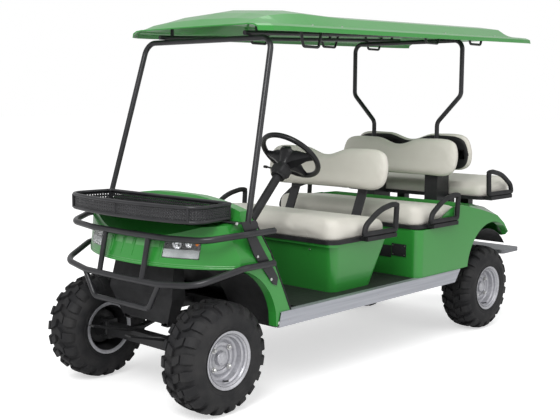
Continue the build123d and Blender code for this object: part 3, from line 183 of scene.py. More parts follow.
def make_paint(name, dark, light):
    """Glossy moulded body panel: faint colour drift and orange peel under a clear coat."""
    n = Nodes(name)
    drift = n.span(n.noise(3.0, 2.0), 0.2, 0.8)
    n.bump(n.noise(60.0, 2.0), 0.04, 0.0008)
    return n.finish(Base_Color=n.mix(drift, dark, light), Roughness=n.span(n.noise(25.0), 0.26, 0.34),
                    Coat_Weight=0.5, Coat_Roughness=0.08, Specular_IOR_Level=0.4)


def make_vinyl(name, dark, light):
    """Soft seat vinyl: pebble grain, slight colour drift, a little sheen."""
    n = Nodes(name)
    drift = n.span(n.noise(9.0, 3.0), 0.1, 0.9)
    grain = n.cells(650.0, "F1")
    n.bump(n.math("ADD", grain, n.math("MULTIPLY", n.noise(30.0), 1.5)), 0.18, 0.0006)
    return n.finish(Base_Color=n.mix(drift, dark, light), Roughness=n.span(grain, 0.48, 0.6),
                    Sheen_Weight=0.12, Sheen_Roughness=0.4)


def make_plastic(name, dark, light, rough=0.5, grain=500.0):
    """Moulded black plastic with a fine spark-eroded grain and worn lighter spots."""
    n = Nodes(name)
    wear = n.span(n.noise(14.0, 5.0), 0.0, 1.0, 0.35, 0.75)
    n.bump(n.noise(grain, 2.0), 0.25, 0.0005)
    return n.finish(Base_Color=n.mix(wear, dark, light), Specular_IOR_Level=0.3,
                    Roughness=n.span(n.noise(35.0), rough - 0.06, rough + 0.08))


def make_coat(name, dark, light, rough=0.33):
    """Powder-coated steel: satin, with fine orange peel."""
    n = Nodes(name)
    drift = n.span(n.noise(6.0, 3.0), 0.0, 1.0, 0.3, 0.7)
    n.bump(n.noise(220.0, 3.0), 0.12, 0.0006)
    return n.finish(Base_Color=n.mix(drift, dark, light),
                    Roughness=n.span(n.noise(40.0), rough - 0.05, rough + 0.06),
                    Specular_IOR_Level=0.3, Coat_Weight=0.2, Coat_Roughness=0.2)


def make_metal(name, dark, light, rough, stretch, metallic=0.9):
    """Brushed or cast metal; stretch runs the brushing along an axis."""
    n = Nodes(name)
    lines = n.noise(80.0, 4.0, stretch)
    n.bump(lines, 0.08, 0.0004)
    return n.finish(Base_Color=n.mix(n.span(lines, 0.0, 1.0, 0.3, 0.7), dark, light), Metallic=metallic,
                    Roughness=n.span(lines, rough - 0.07, rough + 0.07, 0.3, 0.7))


def make_rubber(name, dark, light):
    """Tyre rubber with dust in its low-frequency drift."""
    n = Nodes(name)
    dust = n.span(n.noise(11.0, 6.0), 0.0, 1.0, 0.4, 0.8)
    n.bump(n.noise(260.0, 4.0), 0.3, 0.0008)
    return n.finish(Base_Color=n.mix(dust, dark, light), Roughness=n.span(n.noise(50.0), 0.58, 0.74),
                    Specular_IOR_Level=0.25)


def make_mat():
    """Floor mat: small raised studs in rows."""
    n = Nodes("floor_mat_rubber")
    studs = n.cells(45.0)
    n.bump(n.span(studs, 1.0, 0.0, 0.1, 0.45), 0.6, 0.002)
    return n.finish(Base_Color=n.mix(n.noise(8.0), rgb(0.008, 0.012, 0.009), rgb(0.02, 0.026, 0.021)),
                    Roughness=0.6)


def make_lens():
    n = Nodes("lamp_lens_clear")
    n.bump(n.noise(90.0, 1.0, (1, 1, 0.2)), 0.1, 0.001)
    return n.finish(Base_Color=rgb(0.95, 0.97, 0.97), Roughness=0.06, Transmission_Weight=0.9,
                    IOR=1.3, Alpha=0.55)


def make_step():
    """Grey step plate with a fine anti-slip grain."""
    n = Nodes("step_plate_grey")
    n.bump(n.cells(240.0), 0.4, 0.0012)
    return n.finish(Base_Color=n.mix(n.noise(30.0), rgb(0.16, 0.165, 0.18), rgb(0.24, 0.245, 0.26)),
                    Roughness=0.55,
                    Metallic=0.2)


GREEN = make_paint("body_green_gloss", rgb(0.024, 0.225, 0.03), rgb(0.032, 0.27, 0.04))
VINYL = make_vinyl("seat_vinyl_ivory", rgb(0.60, 0.575, 0.515), rgb(0.67, 0.65, 0.59))
PLASTIC = make_plastic("black_plastic_grain", rgb(0.010, 0.010, 0.011), rgb(0.022, 0.022, 0.024))
GLOSS_BLACK = make_plastic("black_plastic_gloss", rgb(0.01, 0.01, 0.011), rgb(0.018, 0.018, 0.02), 0.3, 120.0)
STEEL = make_coat("black_steel_satin", rgb(0.016, 0.016, 0.018), rgb(0.028, 0.028, 0.031))
CHASSIS = make_coat("chassis_paint_matt", rgb(0.010, 0.010, 0.011), rgb(0.02, 0.02, 0.021), 0.5)
TYRE = make_rubber("tyre_rubber", rgb(0.016, 0.016, 0.0175), rgb(0.035, 0.034, 0.034))
SILVER = make_metal("rim_silver_paint", rgb(0.42, 0.42, 0.45), rgb(0.54, 0.54, 0.57), 0.36, (1, 1, 1), 0.6)
SILL_METAL = make_metal("sill_aluminium", rgb(0.36, 0.37, 0.41), rgb(0.47, 0.48, 0.52), 0.42,
                        (1, 0.02, 1), 0.6)
ZINC = make_metal("bolt_zinc", rgb(0.5, 0.5, 0.5), rgb(0.68, 0.68, 0.67), 0.28, (1, 1, 1))
CHROME = make_metal("lamp_chrome", rgb(0.8, 0.8, 0.82), rgb(0.9, 0.9, 0.92), 0.12, (1, 1, 1), 1.0)
TRIM = make_plastic("rubber_trim", rgb(0.012, 0.012, 0.013), rgb(0.02, 0.02, 0.022), 0.55, 300.0)
MAT = make_mat()
LENS = make_lens()
STEP = make_step()
# Paler green for the fascia's grooves and panels: a painted highlight.
PAINTED_HIGHLIGHT_GREEN = make_paint("body_green_painted_highlight", rgb(0.08, 0.30, 0.085), rgb(0.11, 0.36, 0.115))
AMBER = make_plastic("lamp_amber", rgb(0.55, 0.12, 0.005), rgb(0.75, 0.2, 0.01), 0.25, 100.0)

SLOT_MATERIAL = {
    "tyre": TYRE, "rim_silver": SILVER, "sill_aluminium": SILL_METAL, "body_green": GREEN,
    "seat_vinyl": VINYL,
    "black_plastic": PLASTIC, "black_steel": STEEL, "chassis_steel": CHASSIS, "floor_rubber": MAT,
    "deck_black": CHASSIS, "step_grey": STEP, "lamp_lens": LENS, "battery_case": PLASTIC,
}


def smooth(mesh, degrees=35):
    mesh.polygons.foreach_set("use_smooth", [True] * len(mesh.polygons))
    mesh.set_sharp_from_angle(angle=math.radians(degrees))


def bevel(obj, width, segments=2):
    cut = obj.modifiers.new("edge", "BEVEL")
    cut.width = width * MM
    cut.segments = segments
    cut.limit_method = "ANGLE"
    cut.angle_limit = math.radians(40)
    cut.harden_normals = True


# node, bevel of its outer edges in millimetres
NODE_BEVELS = {
    "sills": 2, "basket": 0, "front_apron": 2, "chassis_frame": 2, "front_axle": 3, "floor_mat": 2,
    "guard_brackets": 2, "back_posts": 2, "back_supports": 2, "bench_supports": 2, "rear_step": 3,
    "seat_base_1": 4, "seat_base_2": 4, "seat_base_3": 4, "battery_block": 4,
}
# node, angle in degrees under which its edges shade as round
NODE_ROUNDING = {"front_cowl": 58, "rear_body": 50, "seat_pod": 50}
for entry in frame["record"]["subparts"]:
    node = NODES[entry["node"]]
    node.data.materials.clear()
    node.data.materials.append(SLOT_MATERIAL[entry["material_slot"]])
    smooth(node.data, NODE_ROUNDING.get(entry["node"], 35))
    if NODE_BEVELS.get(entry["node"]):
        bevel(node, NODE_BEVELS[entry["node"]])

# ---- making pieces


def new_piece(name, mesh, body, material, standing_for=()):
    """Links a mesh as a piece that rides on a body."""
    obj = bpy.data.objects.new(name, mesh)
    bpy.context.scene.collection.objects.link(obj)
    if material is not None:
        mesh.materials.clear()
        mesh.materials.append(material)
    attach(obj, body)
    if standing_for:
        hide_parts(*standing_for)
    return obj


def mesh_of(name, points, faces, degrees=35):
    mesh = bpy.data.meshes.new(name)
    mesh.from_pydata([tuple(point) for point in points], [], faces)
    mesh.validate()
    mesh.update()
    smooth(mesh, degrees)
    return mesh


class Build:
    """Collects points and faces of several simple solids into one mesh."""

    def __init__(self):
        self.points = []
        self.faces = []

    def add(self, points, faces):
        start = len(self.points)
        self.points += [Vector(point) for point in points]
        self.faces += [tuple(start + index for index in face) for face in faces]

    def box(self, low, high):
        x0, y0, z0 = low
        x1, y1, z1 = high
        corners = [(x, y, z) for x in (x0, x1) for y in (y0, y1) for z in (z0, z1)]
        self.add(corners, [(0, 1, 3, 2), (4, 6, 7, 5), (0, 4, 5, 1),
                           (2, 3, 7, 6), (0, 2, 6, 4), (1, 5, 7, 3)])

    def lathe(self, rows, centre, axis, segments=48):
        """Rows of (distance along the axis, radius) turned about the axis through the centre."""
        axis = Vector(axis).normalized()
        side = axis.orthogonal().normalized()
        other = axis.cross(side)
        points = []
        for along, radius in rows:
            for step in range(segments):
                turn = 2 * math.pi * step / segments
                spoke = side * math.cos(turn) + other * math.sin(turn)
                points.append(Vector(centre) + axis * along + spoke * radius)
        faces = []
        for row in range(len(rows) - 1):
            for step in range(segments):
                after = (step + 1) % segments
                faces.append((row * segments + step, row * segments + after,
                              (row + 1) * segments + after, (row + 1) * segments + step))
        self.add(points, faces)

    def pipe(self, path, radius, segments=12, closed=False):
        """A round tube along a list of points."""
        path = [Vector(point) for point in path]
        count = len(path)
        normal = None
        points = []
        for index, point in enumerate(path):
            before = path[index - 1] if index or closed else point
            after = path[(index + 1) % count] if index < count - 1 or closed else point
            along = (after - before).normalized()
            if normal is None:
                normal = along.orthogonal().normalized()
            normal = (normal - along * normal.dot(along)).normalized()
            other = along.cross(normal)
            for step in range(segments):
                turn = 2 * math.pi * step / segments
                points.append(point + (normal * math.cos(turn) + other * math.sin(turn)) * radius)
        faces = []
        for index in range(count if closed else count - 1):
            following = (index + 1) % count
            for step in range(segments):
                after = (step + 1) % segments
                faces.append((index * segments + step, index * segments + after,
                              following * segments + after, following * segments + step))
        if not closed:
            faces.append(tuple(reversed(range(segments))))
            faces.append(tuple(range((count - 1) * segments, count * segments)))
        self.add(points, faces)

    def bolt(self, centre, axis, radius, height, sides=6):
        """A bolt head on a washer, standing out along the axis."""
        self.lathe([(0, 0), (0, radius * 1.5), (height * 0.25, radius * 1.5), (height * 0.25, radius)],
                   centre, axis, 20)
        self.lathe([(height * 0.2, radius), (height * 0.85, radius), (height, radius * 0.8), (height, 0)],
                   centre, axis,
                   sides)

    def mirrored(self):
        """Adds the mirror image across the centre plane."""
        points = [(-point.x, point.y, point.z) for point in self.points]
        self.add(points, [tuple(reversed(face)) for face in self.faces])

    def piece(self, name, body, slot, material, standing_for=(), degrees=35):
        mesh = mesh_of(name, self.points, self.faces, degrees)
        return new_piece(name, mesh, body, material, standing_for)


# ---- wheels

TYRE_R = 280
# distance from the tyre's middle plane, outer radius over the lugs
LUG_TOP = [(0, 280), (40, 279.5), (66, 277), (84, 270), (98, 256), (104.5, 246)]
# closed outline of the carcass from bead to bead, one half: across, radius
CARCASS = [(0, 263), (40, 262.5), (64, 260), (80, 253), (93, 242), (103, 229), (111, 212), (115, 196),
           (115, 184), (111, 171), (112.5, 168), (108, 160), (104, 153), (103, 147), (101, 145), (101, 128)]
TREAD_ROWS = 8
LUG_PITCHES = 20
# half-blocks of the tread: across, start and length along the tread at the crown
SHOULDER_BLOCK = [(56, 12, 44), (72, 8, 48), (86, 5, 50), (98, 4, 50), (104.5, 5, 48)]
CENTRE_BLOCK = [(4, 42, 34), (18, 34, 40), (34, 24, 40), (47, 18, 36)]


def table_value(table, place):
    for (start, first), (end, second) in zip(table, table[1:]):
        if place <= end:
            return first + (second - first) * (place - start) / (end - start)
    return table[-1][1]


def add_lug(build, block, side, shift):
    """One block of the tread on one side of the middle, started a distance round the crown."""
    points = []
    for across, lead, length in block:
        top = table_value(LUG_TOP, across)
        low = table_value(CARCASS[:TREAD_ROWS], across) - 2
        start = shift + lead
        end = start + length
        for arc, radius in ((start - 3, low), (start, top), (end, top), (end + 3, low)):
            turn = arc / TYRE_R
            points.append(Vector((side * across, radius * math.cos(turn), radius * math.sin(turn))))
    faces = []
    rows = len(block)
    for row in range(rows - 1):
        for column in range(3):
            first = row * 4 + column
            faces.append((first, first + 1, first + 5, first + 4))
    faces.append((3, 2, 1, 0))
    last = (rows - 1) * 4
    faces.append((last, last + 1, last + 2, last + 3))
    build.add(points, faces)


def make_tyre_mesh():
    """Carcass turned about the axle with two rows of chevron blocks and shoulder blocks on it."""
    build = Build()
    rows = CARCASS[::-1] + [(-across, radius) for across, radius in CARCASS[1:]]
    build.lathe(rows, (0, 0, 0), (1, 0, 0), 96)
    pitch = 2 * math.pi * TYRE_R / LUG_PITCHES
    for number in range(LUG_PITCHES):
        for side in (1, -1):
            shift = number * pitch + (pitch / 2 if side < 0 else 0)
            add_lug(build, SHOULDER_BLOCK, side, shift)
            add_lug(build, CENTRE_BLOCK, side, shift)
    mesh = mesh_of("tyre_mesh", [point * MM for point in build.points], build.faces, 40)
    shell = bmesh.new()
    shell.from_mesh(mesh)
    bmesh.ops.recalc_face_normals(shell, faces=shell.faces)
    shell.to_mesh(mesh)
    shell.free()
    smooth(mesh, 40)
    return mesh


# closed section of the rim: distance out from the wheel's middle plane, radius
RIM_ROWS = [(65.5, 0.1), (65.5, 20), (64, 23), (61, 26), (60, 31), (56, 34), (37, 36),
            (35.5, 39), (35.5, 53), (38, 58), (45, 61), (48, 66), (48, 78), (44, 84),
            (40, 90), (39, 98), (41, 105), (45, 109), (64, 111), (74, 112.5), (77, 118),
            (79, 121), (92, 122), (99, 127), (103, 133), (106.5, 138), (108, 142), (107, 145),
            (104, 145), (101, 141), (99, 129), (62, 127), (40, 116), (-60, 116), (-99, 129),
            (-101, 141), (-104, 145), (-107, 144), (-106, 138), (-99, 123), (-60, 110), (30, 110),
            (33, 92), (30, 60), (28, 0.1)]
# black skin over the rim's inner face, painted shade on the silver rim; and the drum behind the disc
RIM_SHADE_ROWS = [(-105, 138), (-99, 122.5), (-60, 109.5), (29.5, 109.5), (32.5, 92), (29.5, 60)]
DRUM_ROWS = [(27, 40), (27, 84), (22, 88), (-26, 88), (-28, 92), (-36, 92), (-38, 86), (-40, 40)]


def turned_mesh(name, rows, segments=72):
    build = Build()
    build.lathe(rows, (0, 0, 0), (1, 0, 0), segments)
    return mesh_of(name, [point * MM for point in build.points], build.faces, 30)


def copy_mesh(source, name, place, flip):
    """The mesh moved to a wheel's centre, turned round for the right side."""
    mesh = source.copy()
    mesh.name = name
    turn = Matrix.Rotation(math.pi, 4, "Z") if flip else Matrix.Identity(4)
    mesh.transform(Matrix.Translation(place) @ turn)
    return mesh


def make_wheels():
    tyre = make_tyre_mesh()
    # piece, mesh, slot, material, node that it stands for
    turned = [("dished_rim", turned_mesh("rim", RIM_ROWS), "rim_silver", SILVER, "rim"),
              # a black skin just inside the rim's barrel: painted shade
              ("rim_painted_shade", turned_mesh("rim_painted_shade", RIM_SHADE_ROWS), "chassis_steel", CHASSIS, None),
              ("brake_drum", turned_mesh("drum", DRUM_ROWS), "chassis_steel", CHASSIS, None)]
    # name, side, station of the axle
    corners = [("front_left", 1, 0), ("front_right", -1, 0), ("rear_left", 1, 2433), ("rear_right", -1, 2433)]
    for name, side, station in corners:
        body = f"wheel_{name}"
        place = at(side * 470, station, 280)
        mesh = copy_mesh(tyre, f"tread_tyre_{name}", place, side < 0)
        piece = new_piece(f"tread_tyre_{name}", mesh, body, TYRE, (f"tyre_{name}",))
        bevel(piece, 1.6, 1)
        for kind, source, slot, material, node in turned:
            stands_for = (f"{node}_{name}",) if node else ()
            mesh = copy_mesh(source, f"{kind}_{name}", place, side < 0)
            new_piece(f"{kind}_{name}", mesh, body, material, stands_for)
        nuts = Build()
        for step in range(4):
            turn = math.radians(45 + 90 * step)
            centre = place + Vector((side * 48, 71 * math.cos(turn), 68 * math.sin(turn))) * MM
            nuts.bolt(centre, (side, 0, 0), 9.5 * MM, 15 * MM)
        nuts.piece(f"lug_nuts_{name}", body, "chassis_steel", ZINC)
        valve = Build()
        foot = place + Vector((side * 62, 0, -112)) * MM
        valve.lathe([(0, 0.006), (0.004, 0.006), (0.006, 0.004), (0.026, 0.0035), (0.026, 0.0045),
                     (0.036, 0.0045), (0.037, 0.0001)], foot, (side, 0, 0.25), 12)
        valve.piece(f"valve_{name}", body, "tyre", TRIM)


make_wheels()

# ---- cushions


def rounded_plan(half_x, half_y, corner, steps=8):
    """Corner-rounded rectangle as a closed loop of points."""
    loop = []
    for centre_x, centre_y, start in ((1, 1, 0), (-1, 1, 90), (-1, -1, 180), (1, -1, 270)):
        for step in range(steps + 1):
            turn = math.radians(start + 90 * step / steps)
            loop.append((centre_x * (half_x - corner) + corner * math.cos(turn),
                         centre_y * (half_y - corner) + corner * math.sin(turn)))
    return loop


def layered_solid(loops):
    """A closed solid from rings of points, capped at both ends."""
    build = Build()
    count = len(loops[0])
    points = [point for loop in loops for point in loop]
    faces = [tuple(reversed(range(count)))]
    for row in range(len(loops) - 1):
        for step in range(count):
            after = (step + 1) % count
            low, high = row * count, (row + 1) * count
            faces.append((low + step, low + after, high + after, high + step))
    faces.append(tuple(range((len(loops) - 1) * count, len(loops) * count)))
    build.add(points, faces)
    return build


def soften(mesh, voxel, pressure, cap, keep_below=None):
    """Voxel remesh, a short pressure simulation and a smoothing pass; no point moves further than cap."""
    obj = bpy.data.objects.new("pad", mesh)
    bpy.context.scene.collection.objects.link(obj)
    remesh = obj.modifiers.new("remesh", "REMESH")
    remesh.mode = "VOXEL"
    remesh.voxel_size = voxel
    graph = bpy.context.evaluated_depsgraph_get()
    base = bpy.data.meshes.new_from_object(obj.evaluated_get(graph))
    obj.modifiers.clear()
    obj.data = base
    count = len(base.vertices)
    rest = np.empty(count * 3)
    base.vertices.foreach_get("co", rest)
    rest = rest.reshape(-1, 3)
    cloth = obj.modifiers.new("cloth", "CLOTH")
    cloth.settings.quality = 4
    cloth.settings.mass = 0.3
    cloth.settings.tension_stiffness = 40
    cloth.settings.compression_stiffness = 40
    cloth.settings.shear_stiffness = 15
    cloth.settings.bending_stiffness = 2
    cloth.settings.use_pressure = True
    cloth.settings.uniform_pressure_force = pressure
    cloth.settings.effector_weights.gravity = 0
    cloth.collision_settings.use_collision = False
    cloth.point_cache.frame_start = 1
    cloth.point_cache.frame_end = 20
    for number in range(1, 21):
        bpy.context.scene.frame_set(number)
    graph = bpy.context.evaluated_depsgraph_get()
    puffed = bpy.data.meshes.new_from_object(obj.evaluated_get(graph))
    moved = np.empty(count * 3)
    puffed.vertices.foreach_get("co", moved)
    moved = moved.reshape(-1, 3)
    shift = moved - rest
    length = np.linalg.norm(shift, axis=1, keepdims=True)
    shift *= np.minimum(1, cap / np.maximum(length, 1e-9))
    if keep_below is not None:
        shift[:, 2] = np.where(rest[:, 2] < keep_below, np.maximum(shift[:, 2], 0), shift[:, 2])
    moved = rest + shift
    base.vertices.foreach_set("co", moved.ravel())
    bpy.context.scene.frame_set(1)
    obj.modifiers.clear()
    relax = obj.modifiers.new("relax", "SMOOTH")
    relax.iterations = 6
    graph = bpy.context.evaluated_depsgraph_get()
    result = bpy.data.meshes.new_from_object(obj.evaluated_get(graph))
    bpy.data.objects.remove(obj)
    return result


SKIRT = 9


def make_cushion_mesh(length, depth, height, rear_drop):
    """Seat pad in its own frame: origin under its middle, +y towards the backrest."""
    half_x = length / 2
    half_y = depth / 2
    # share of the height, inset of the plan
    layers = [(0.0, 10), (0.06, 3), (0.3, 0), (0.62, 1), (0.8, 6), (0.92, 17), (0.985, 34), (1.0, 60)]
    loops = []
    for share, inset in layers:
        loop = []
        for x, y in rounded_plan(half_x - inset, half_y - inset, 66 - inset * 0.3):
            top = height - rear_drop * (0.5 + y / depth)
            crown = 5 * (1 - (x / half_x) ** 2) * (1 - (y / half_y) ** 2) if share > 0.9 else 0
            loop.append(Vector((x, y, share * top + crown)))
        loops.append(loop)
    build = layered_solid(loops)
    mesh = mesh_of("pad", [point * MM for point in build.points], build.faces)
    return soften(mesh, 0.009, 1.2, 0.007, 0.004)


def make_seat_cushions():
    """One simulated pad for the two forward benches and a shallower one for the rear bench."""
    # row, body, faces forward
    rows = [(1, "seat_lid_1", True), (2, "seat_lid_2", True), (3, "cart", False)]
    pads = {}
    for row, body, forward in rows:
        low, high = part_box(f"seat_cushion_{row}")
        size = (high - low) / MM
        key = round(size.y)
        if key not in pads:
            pads[key] = make_cushion_mesh(size.x - 3, size.y - 3, size.z + SKIRT - 3, 42)
        mesh = pads[key].copy()
        centre = Vector(((low.x + high.x) / 2, (low.y + high.y) / 2, low.z - SKIRT * MM))
        turn = Matrix.Identity(4) if forward else Matrix.Rotation(math.pi, 4, "Z")
        mesh.transform(Matrix.Translation(centre) @ turn)
        smooth(mesh, 60)
        piece = new_piece(f"bench_pad_{row}", mesh, body, VINYL, (f"seat_cushion_{row}",))
        sub = piece.modifiers.new("finer", "SUBSURF")
        sub.levels = 1
        sub.render_levels = 1


make_seat_cushions()

# ---- backrests

BACK_HALF = 478
BACK_HEIGHT = 268
BACK_DIP = 42
BACK_HUMP = 190
BACK_THICK = 54
BACK_LEAN = 8
# row, station and height of the front face's foot, way it faces
BACKS = [(1, 1352, 990, -1), (2, 2118, 1030, -1), (3, 2400, 1060, 1)]


def back_loop(inset, steps=20):
    """Two-humped outline of a backrest, as (across, up) points, clockwise from the dip."""
    half = BACK_HALF - inset
    high = BACK_HEIGHT - inset
    dip = high - BACK_DIP
    right = []
    for step in range(steps):
        share = step / steps
        x = BACK_HUMP * share
        right.append((x, dip + BACK_DIP * (0.5 - 0.5 * math.cos(math.pi * share))))
    # control points of the shoulder, side and foot, swept by a Catmull-Rom curve
    knots = [(BACK_HUMP - 60, high - 3), (BACK_HUMP, high), (BACK_HUMP + 130, high - 1),
             (half - 78, high - 8), (half - 30, high - 30), (half - 8, high - 74), (half, high - 130),
             (half - 1, 116 + inset),
             (half - 8, 66 + inset), (half - 30, 28 + inset), (half - 74, 6 + inset), (half - 130, inset),
             (half - 190, inset)]
    for index in range(1, len(knots) - 2):
        a, b, c, d = (Vector(knots[index + offset]) for offset in (-1, 0, 1, 2))
        for step in range(5):
            t = step / 5
            bend = (2 * a - 5 * b + 4 * c - d) * t * t + (3 * b - a - 3 * c + d) * t ** 3
            point = 0.5 * ((2 * b) + (c - a) * t + bend)
            right.append((point.x, point.y))
    for step in range(10):
        right.append(((half - 130) * (1 - step / 10), inset))
    left = [(-x, z) for x, z in right[1:]][::-1]
    return right + [(0, inset)] + left


def back_frame(station, z, facing):
    """Matrix from a back's own frame (x across, y up, +z out of its front face) to the row frame."""
    lean = math.radians(BACK_LEAN)
    up = Vector((0, -facing * math.sin(lean), math.cos(lean)))
    across = Vector((1, 0, 0)) if facing < 0 else Vector((-1, 0, 0))
    out = across.cross(up)
    turn = Matrix((across, up, out)).transposed().to_4x4()
    return Matrix.Translation(at(0, station, z)) @ turn


def make_back_mesh():
    layers = [(-BACK_THICK, 16), (-BACK_THICK + 6, 10), (-BACK_THICK * 0.55, 7), (-20, 8), (-9, 14),
              (-3, 26), (0, 48)]
    loops = []
    for depth, inset in layers:
        crown = 5 if depth == 0 else 0
        loops.append([Vector((x, z, depth - 6 + crown * (1 - (x / BACK_HALF) ** 2)))
                      for x, z in back_loop(inset)])
    build = layered_solid(loops)
    mesh = mesh_of("pad", [point * MM for point in build.points], build.faces)
    return soften(mesh, 0.0068, 1.6, 0.006)


def make_backs():
    pad = make_back_mesh()
    for row, station, z, facing in BACKS:
        place = back_frame(station, z, facing)
        mesh = pad.copy()
        mesh.transform(place)
        smooth(mesh, 60)
        piece = new_piece(f"back_pad_{row}", mesh, "cart", VINYL, (f"seat_back_{row}",))
        sub = piece.modifiers.new("finer", "SUBSURF")
        sub.levels = 1
        sub.render_levels = 1
        layers = [(-BACK_THICK + 1, 30), (-BACK_THICK - 1, 21), (-BACK_THICK - 8, 20), (-BACK_THICK - 12, 23),
                  (-BACK_THICK - 15, 30), (-BACK_THICK - 16, 44)]
        loops = [[place @ (Vector((x, y, depth)) * MM) for x, y in back_loop(inset)]
                 for depth, inset in layers]
        tray = layered_solid(loops)
        tray.piece(f"back_tray_{row}", "cart", "black_plastic", PLASTIC, (f"back_shell_{row}",), 50)


make_backs()

# ---- outlines


def circle_through(first, middle, last):
    """Centre and radius of the circle through three places in a plane."""
    (ax, ay), (bx, by), (cx, cy) = first, middle, last
    double = 2 * (ax * (by - cy) + bx * (cy - ay) + cx * (ay - by))
    a, b, c = ax * ax + ay * ay, bx * bx + by * by, cx * cx + cy * cy
    centre = ((a * (by - cy) + b * (cy - ay) + c * (ay - by)) / double,
              (a * (cx - bx) + b * (ax - cx) + c * (bx - ax)) / double)
    return centre, math.hypot(ax - centre[0], ay - centre[1])


def rounded_loop(corners, steps=6):
    """Closed outline from (x, y, cut) corners; each is rounded from a cut's length before it to one after."""
    loop = []
    for index, (x, y, cut) in enumerate(corners):
        corner = Vector((x, y))
        if not cut:
            loop.append((x, y))
            continue
        before = Vector(corners[index - 1][:2]) - corner
        after = Vector(corners[(index + 1) % len(corners)][:2]) - corner
        start = corner + before.normalized() * cut
        end = corner + after.normalized() * cut
        for step in range(steps + 1):
            share = step / steps
            point = start * (1 - share) ** 2 + corner * 2 * share * (1 - share) + end * share ** 2
            loop.append((point.x, point.y))
    return loop


def even_steps(loop, spacing):
    """The closed outline again with points at an even spacing."""
    points = [Vector(point) for point in loop] + [Vector(loop[0])]
    lengths = [(after - before).length for before, after in zip(points, points[1:])]
    count = round(sum(lengths) / spacing)
    step = sum(lengths) / count
    result = []
    index, passed = 0, 0.0
    for number in range(count):
        wanted = number * step
        while passed + lengths[index] < wanted:
            passed += lengths[index]
            index += 1
        share = (wanted - passed) / lengths[index]
        result.append(points[index].lerp(points[index + 1], share))
    return result


# ---- nose: lamps, grooves and panels

LIP_Z = 716
NOSE_Y = -180
NOSE_SIDE_Y = 60
NOSE_LEAN = 130
NOSE_HALF = 592
NOSE_DRAW_IN = 20
NOSE_RISE = 350
LAMP_IN_X, LAMP_OUT_X = 235, 425
LAMP_LOW_Z, LAMP_HIGH_Z = 761, 853
# section of a lamp bowl in shares of its radius: along its axis, across
BOWL_ROWS = [(-0.75, 0.15), (-0.68, 0.5), (-0.45, 0.8), (0, 1.0), (0.1, 1.02), (0.1, 1.12), (-0.8, 1.1)]


def nose_circle(z):
    """Centre and radius of the nose's plan at a height, for its left half."""
    share = max(0.0, (z - LIP_Z) / NOSE_RISE)
    front = NOSE_Y + NOSE_LEAN * share
    half = NOSE_HALF - NOSE_DRAW_IN * share
    shoulder = (half * 0.62, front + (NOSE_SIDE_Y - front) * 0.33)
    return circle_through((0, front), shoulder, (half, NOSE_SIDE_Y))


def nose_point(x, z, out=0.0):
    """A place on the nose at a distance across and a height, moved outwards along its plan."""
    (centre_x, centre_y), radius = nose_circle(z)
    turn = math.asin((abs(x) - centre_x) / radius)
    reach = radius + out
    place = Vector((centre_x + reach * math.sin(turn), centre_y - reach * math.cos(turn)))
    return at(math.copysign(place.x, x), place.y, z)


def nose_patch(build, x_low, x_high, z_low, z_high, out, back, slant=0.0):
    """A curved slab on the nose: its front face moved out, its edges going in to a depth."""
    columns, rows = 8, 4
    grid = []
    for depth in (out, back):
        for row in range(rows + 1):
            z = z_low + (z_high - z_low) * row / rows
            for column in range(columns + 1):
                x = x_low + (x_high - x_low) * column / columns
                lean = slant * (row / rows - 0.5) * (1 if x > 0 else -1)
                grid.append(nose_point(x + lean, z, depth))
    width = columns + 1
    layer = width * (rows + 1)
    faces = []
    for side in (0, layer):
        for row in range(rows):
            for column in range(columns):
                first = side + row * width + column
                face = (first, first + 1, first + width + 1, first + width)
                faces.append(face if side == 0 else face[::-1])
    rim = list(range(width))
    rim += [row * width + columns for row in range(1, rows + 1)]
    rim += [rows * width + column for column in range(columns - 1, -1, -1)]
    rim += [row * width for row in range(rows - 1, 0, -1)]
    for before, after in zip(rim, rim[1:] + rim[:1]):
        faces.append((after, before, before + layer, after + layer))
    build.add(grid, faces)


def make_lamps():
    """Clear wedge lenses over chrome reflectors, with a main bowl, a side bowl and an amber bulb."""
    lenses, backs, bowls, ambers, seals = Build(), Build(), Build(), Build(), Build()
    for side in (1, -1):
        x_low, x_high = sorted((side * LAMP_IN_X, side * LAMP_OUT_X))
        nose_patch(lenses, x_low + 2, x_high - 2, LAMP_LOW_Z + 2, LAMP_HIGH_Z - 2, 2.5, -2)
        nose_patch(seals, x_low, x_high, LAMP_LOW_Z, LAMP_HIGH_Z, -23, -27)
        nose_patch(backs, x_low + 4, x_high - 4, LAMP_LOW_Z + 4, LAMP_LOW_Z + 42, -3, -20)
        # across, height, radius of each bowl
        for x, z, radius in ((304, 828, 22), (364, 831, 16)):
            centre = nose_point(side * x, z, -6)
            outward = nose_point(side * x, z, 20) - centre
            rows = [(along * radius * MM, reach * radius * MM) for along, reach in BOWL_ROWS]
            bowls.lathe(rows, centre, outward, 24)
        centre = nose_point(side * 406, 832, -4)
        outward = nose_point(side * 406, 832, 20) - centre
        ambers.lathe([(-0.004, 0.008), (0.002, 0.0085), (0.006, 0.007), (0.008, 0.0001)], centre, outward, 16)
    lenses.piece("lamp_lenses", "cart", "lamp_lens", LENS, ("headlamps",))
    seals.piece("lamp_housings", "cart", "black_plastic", LAMP_BLACK)
    backs.piece("lamp_reflectors", "cart", "lamp_lens", FROSTED)
    bowls.piece("lamp_bowls", "cart", "lamp_lens", CHROME)
    ambers.piece("lamp_bulbs", "cart", "lamp_lens", AMBER)


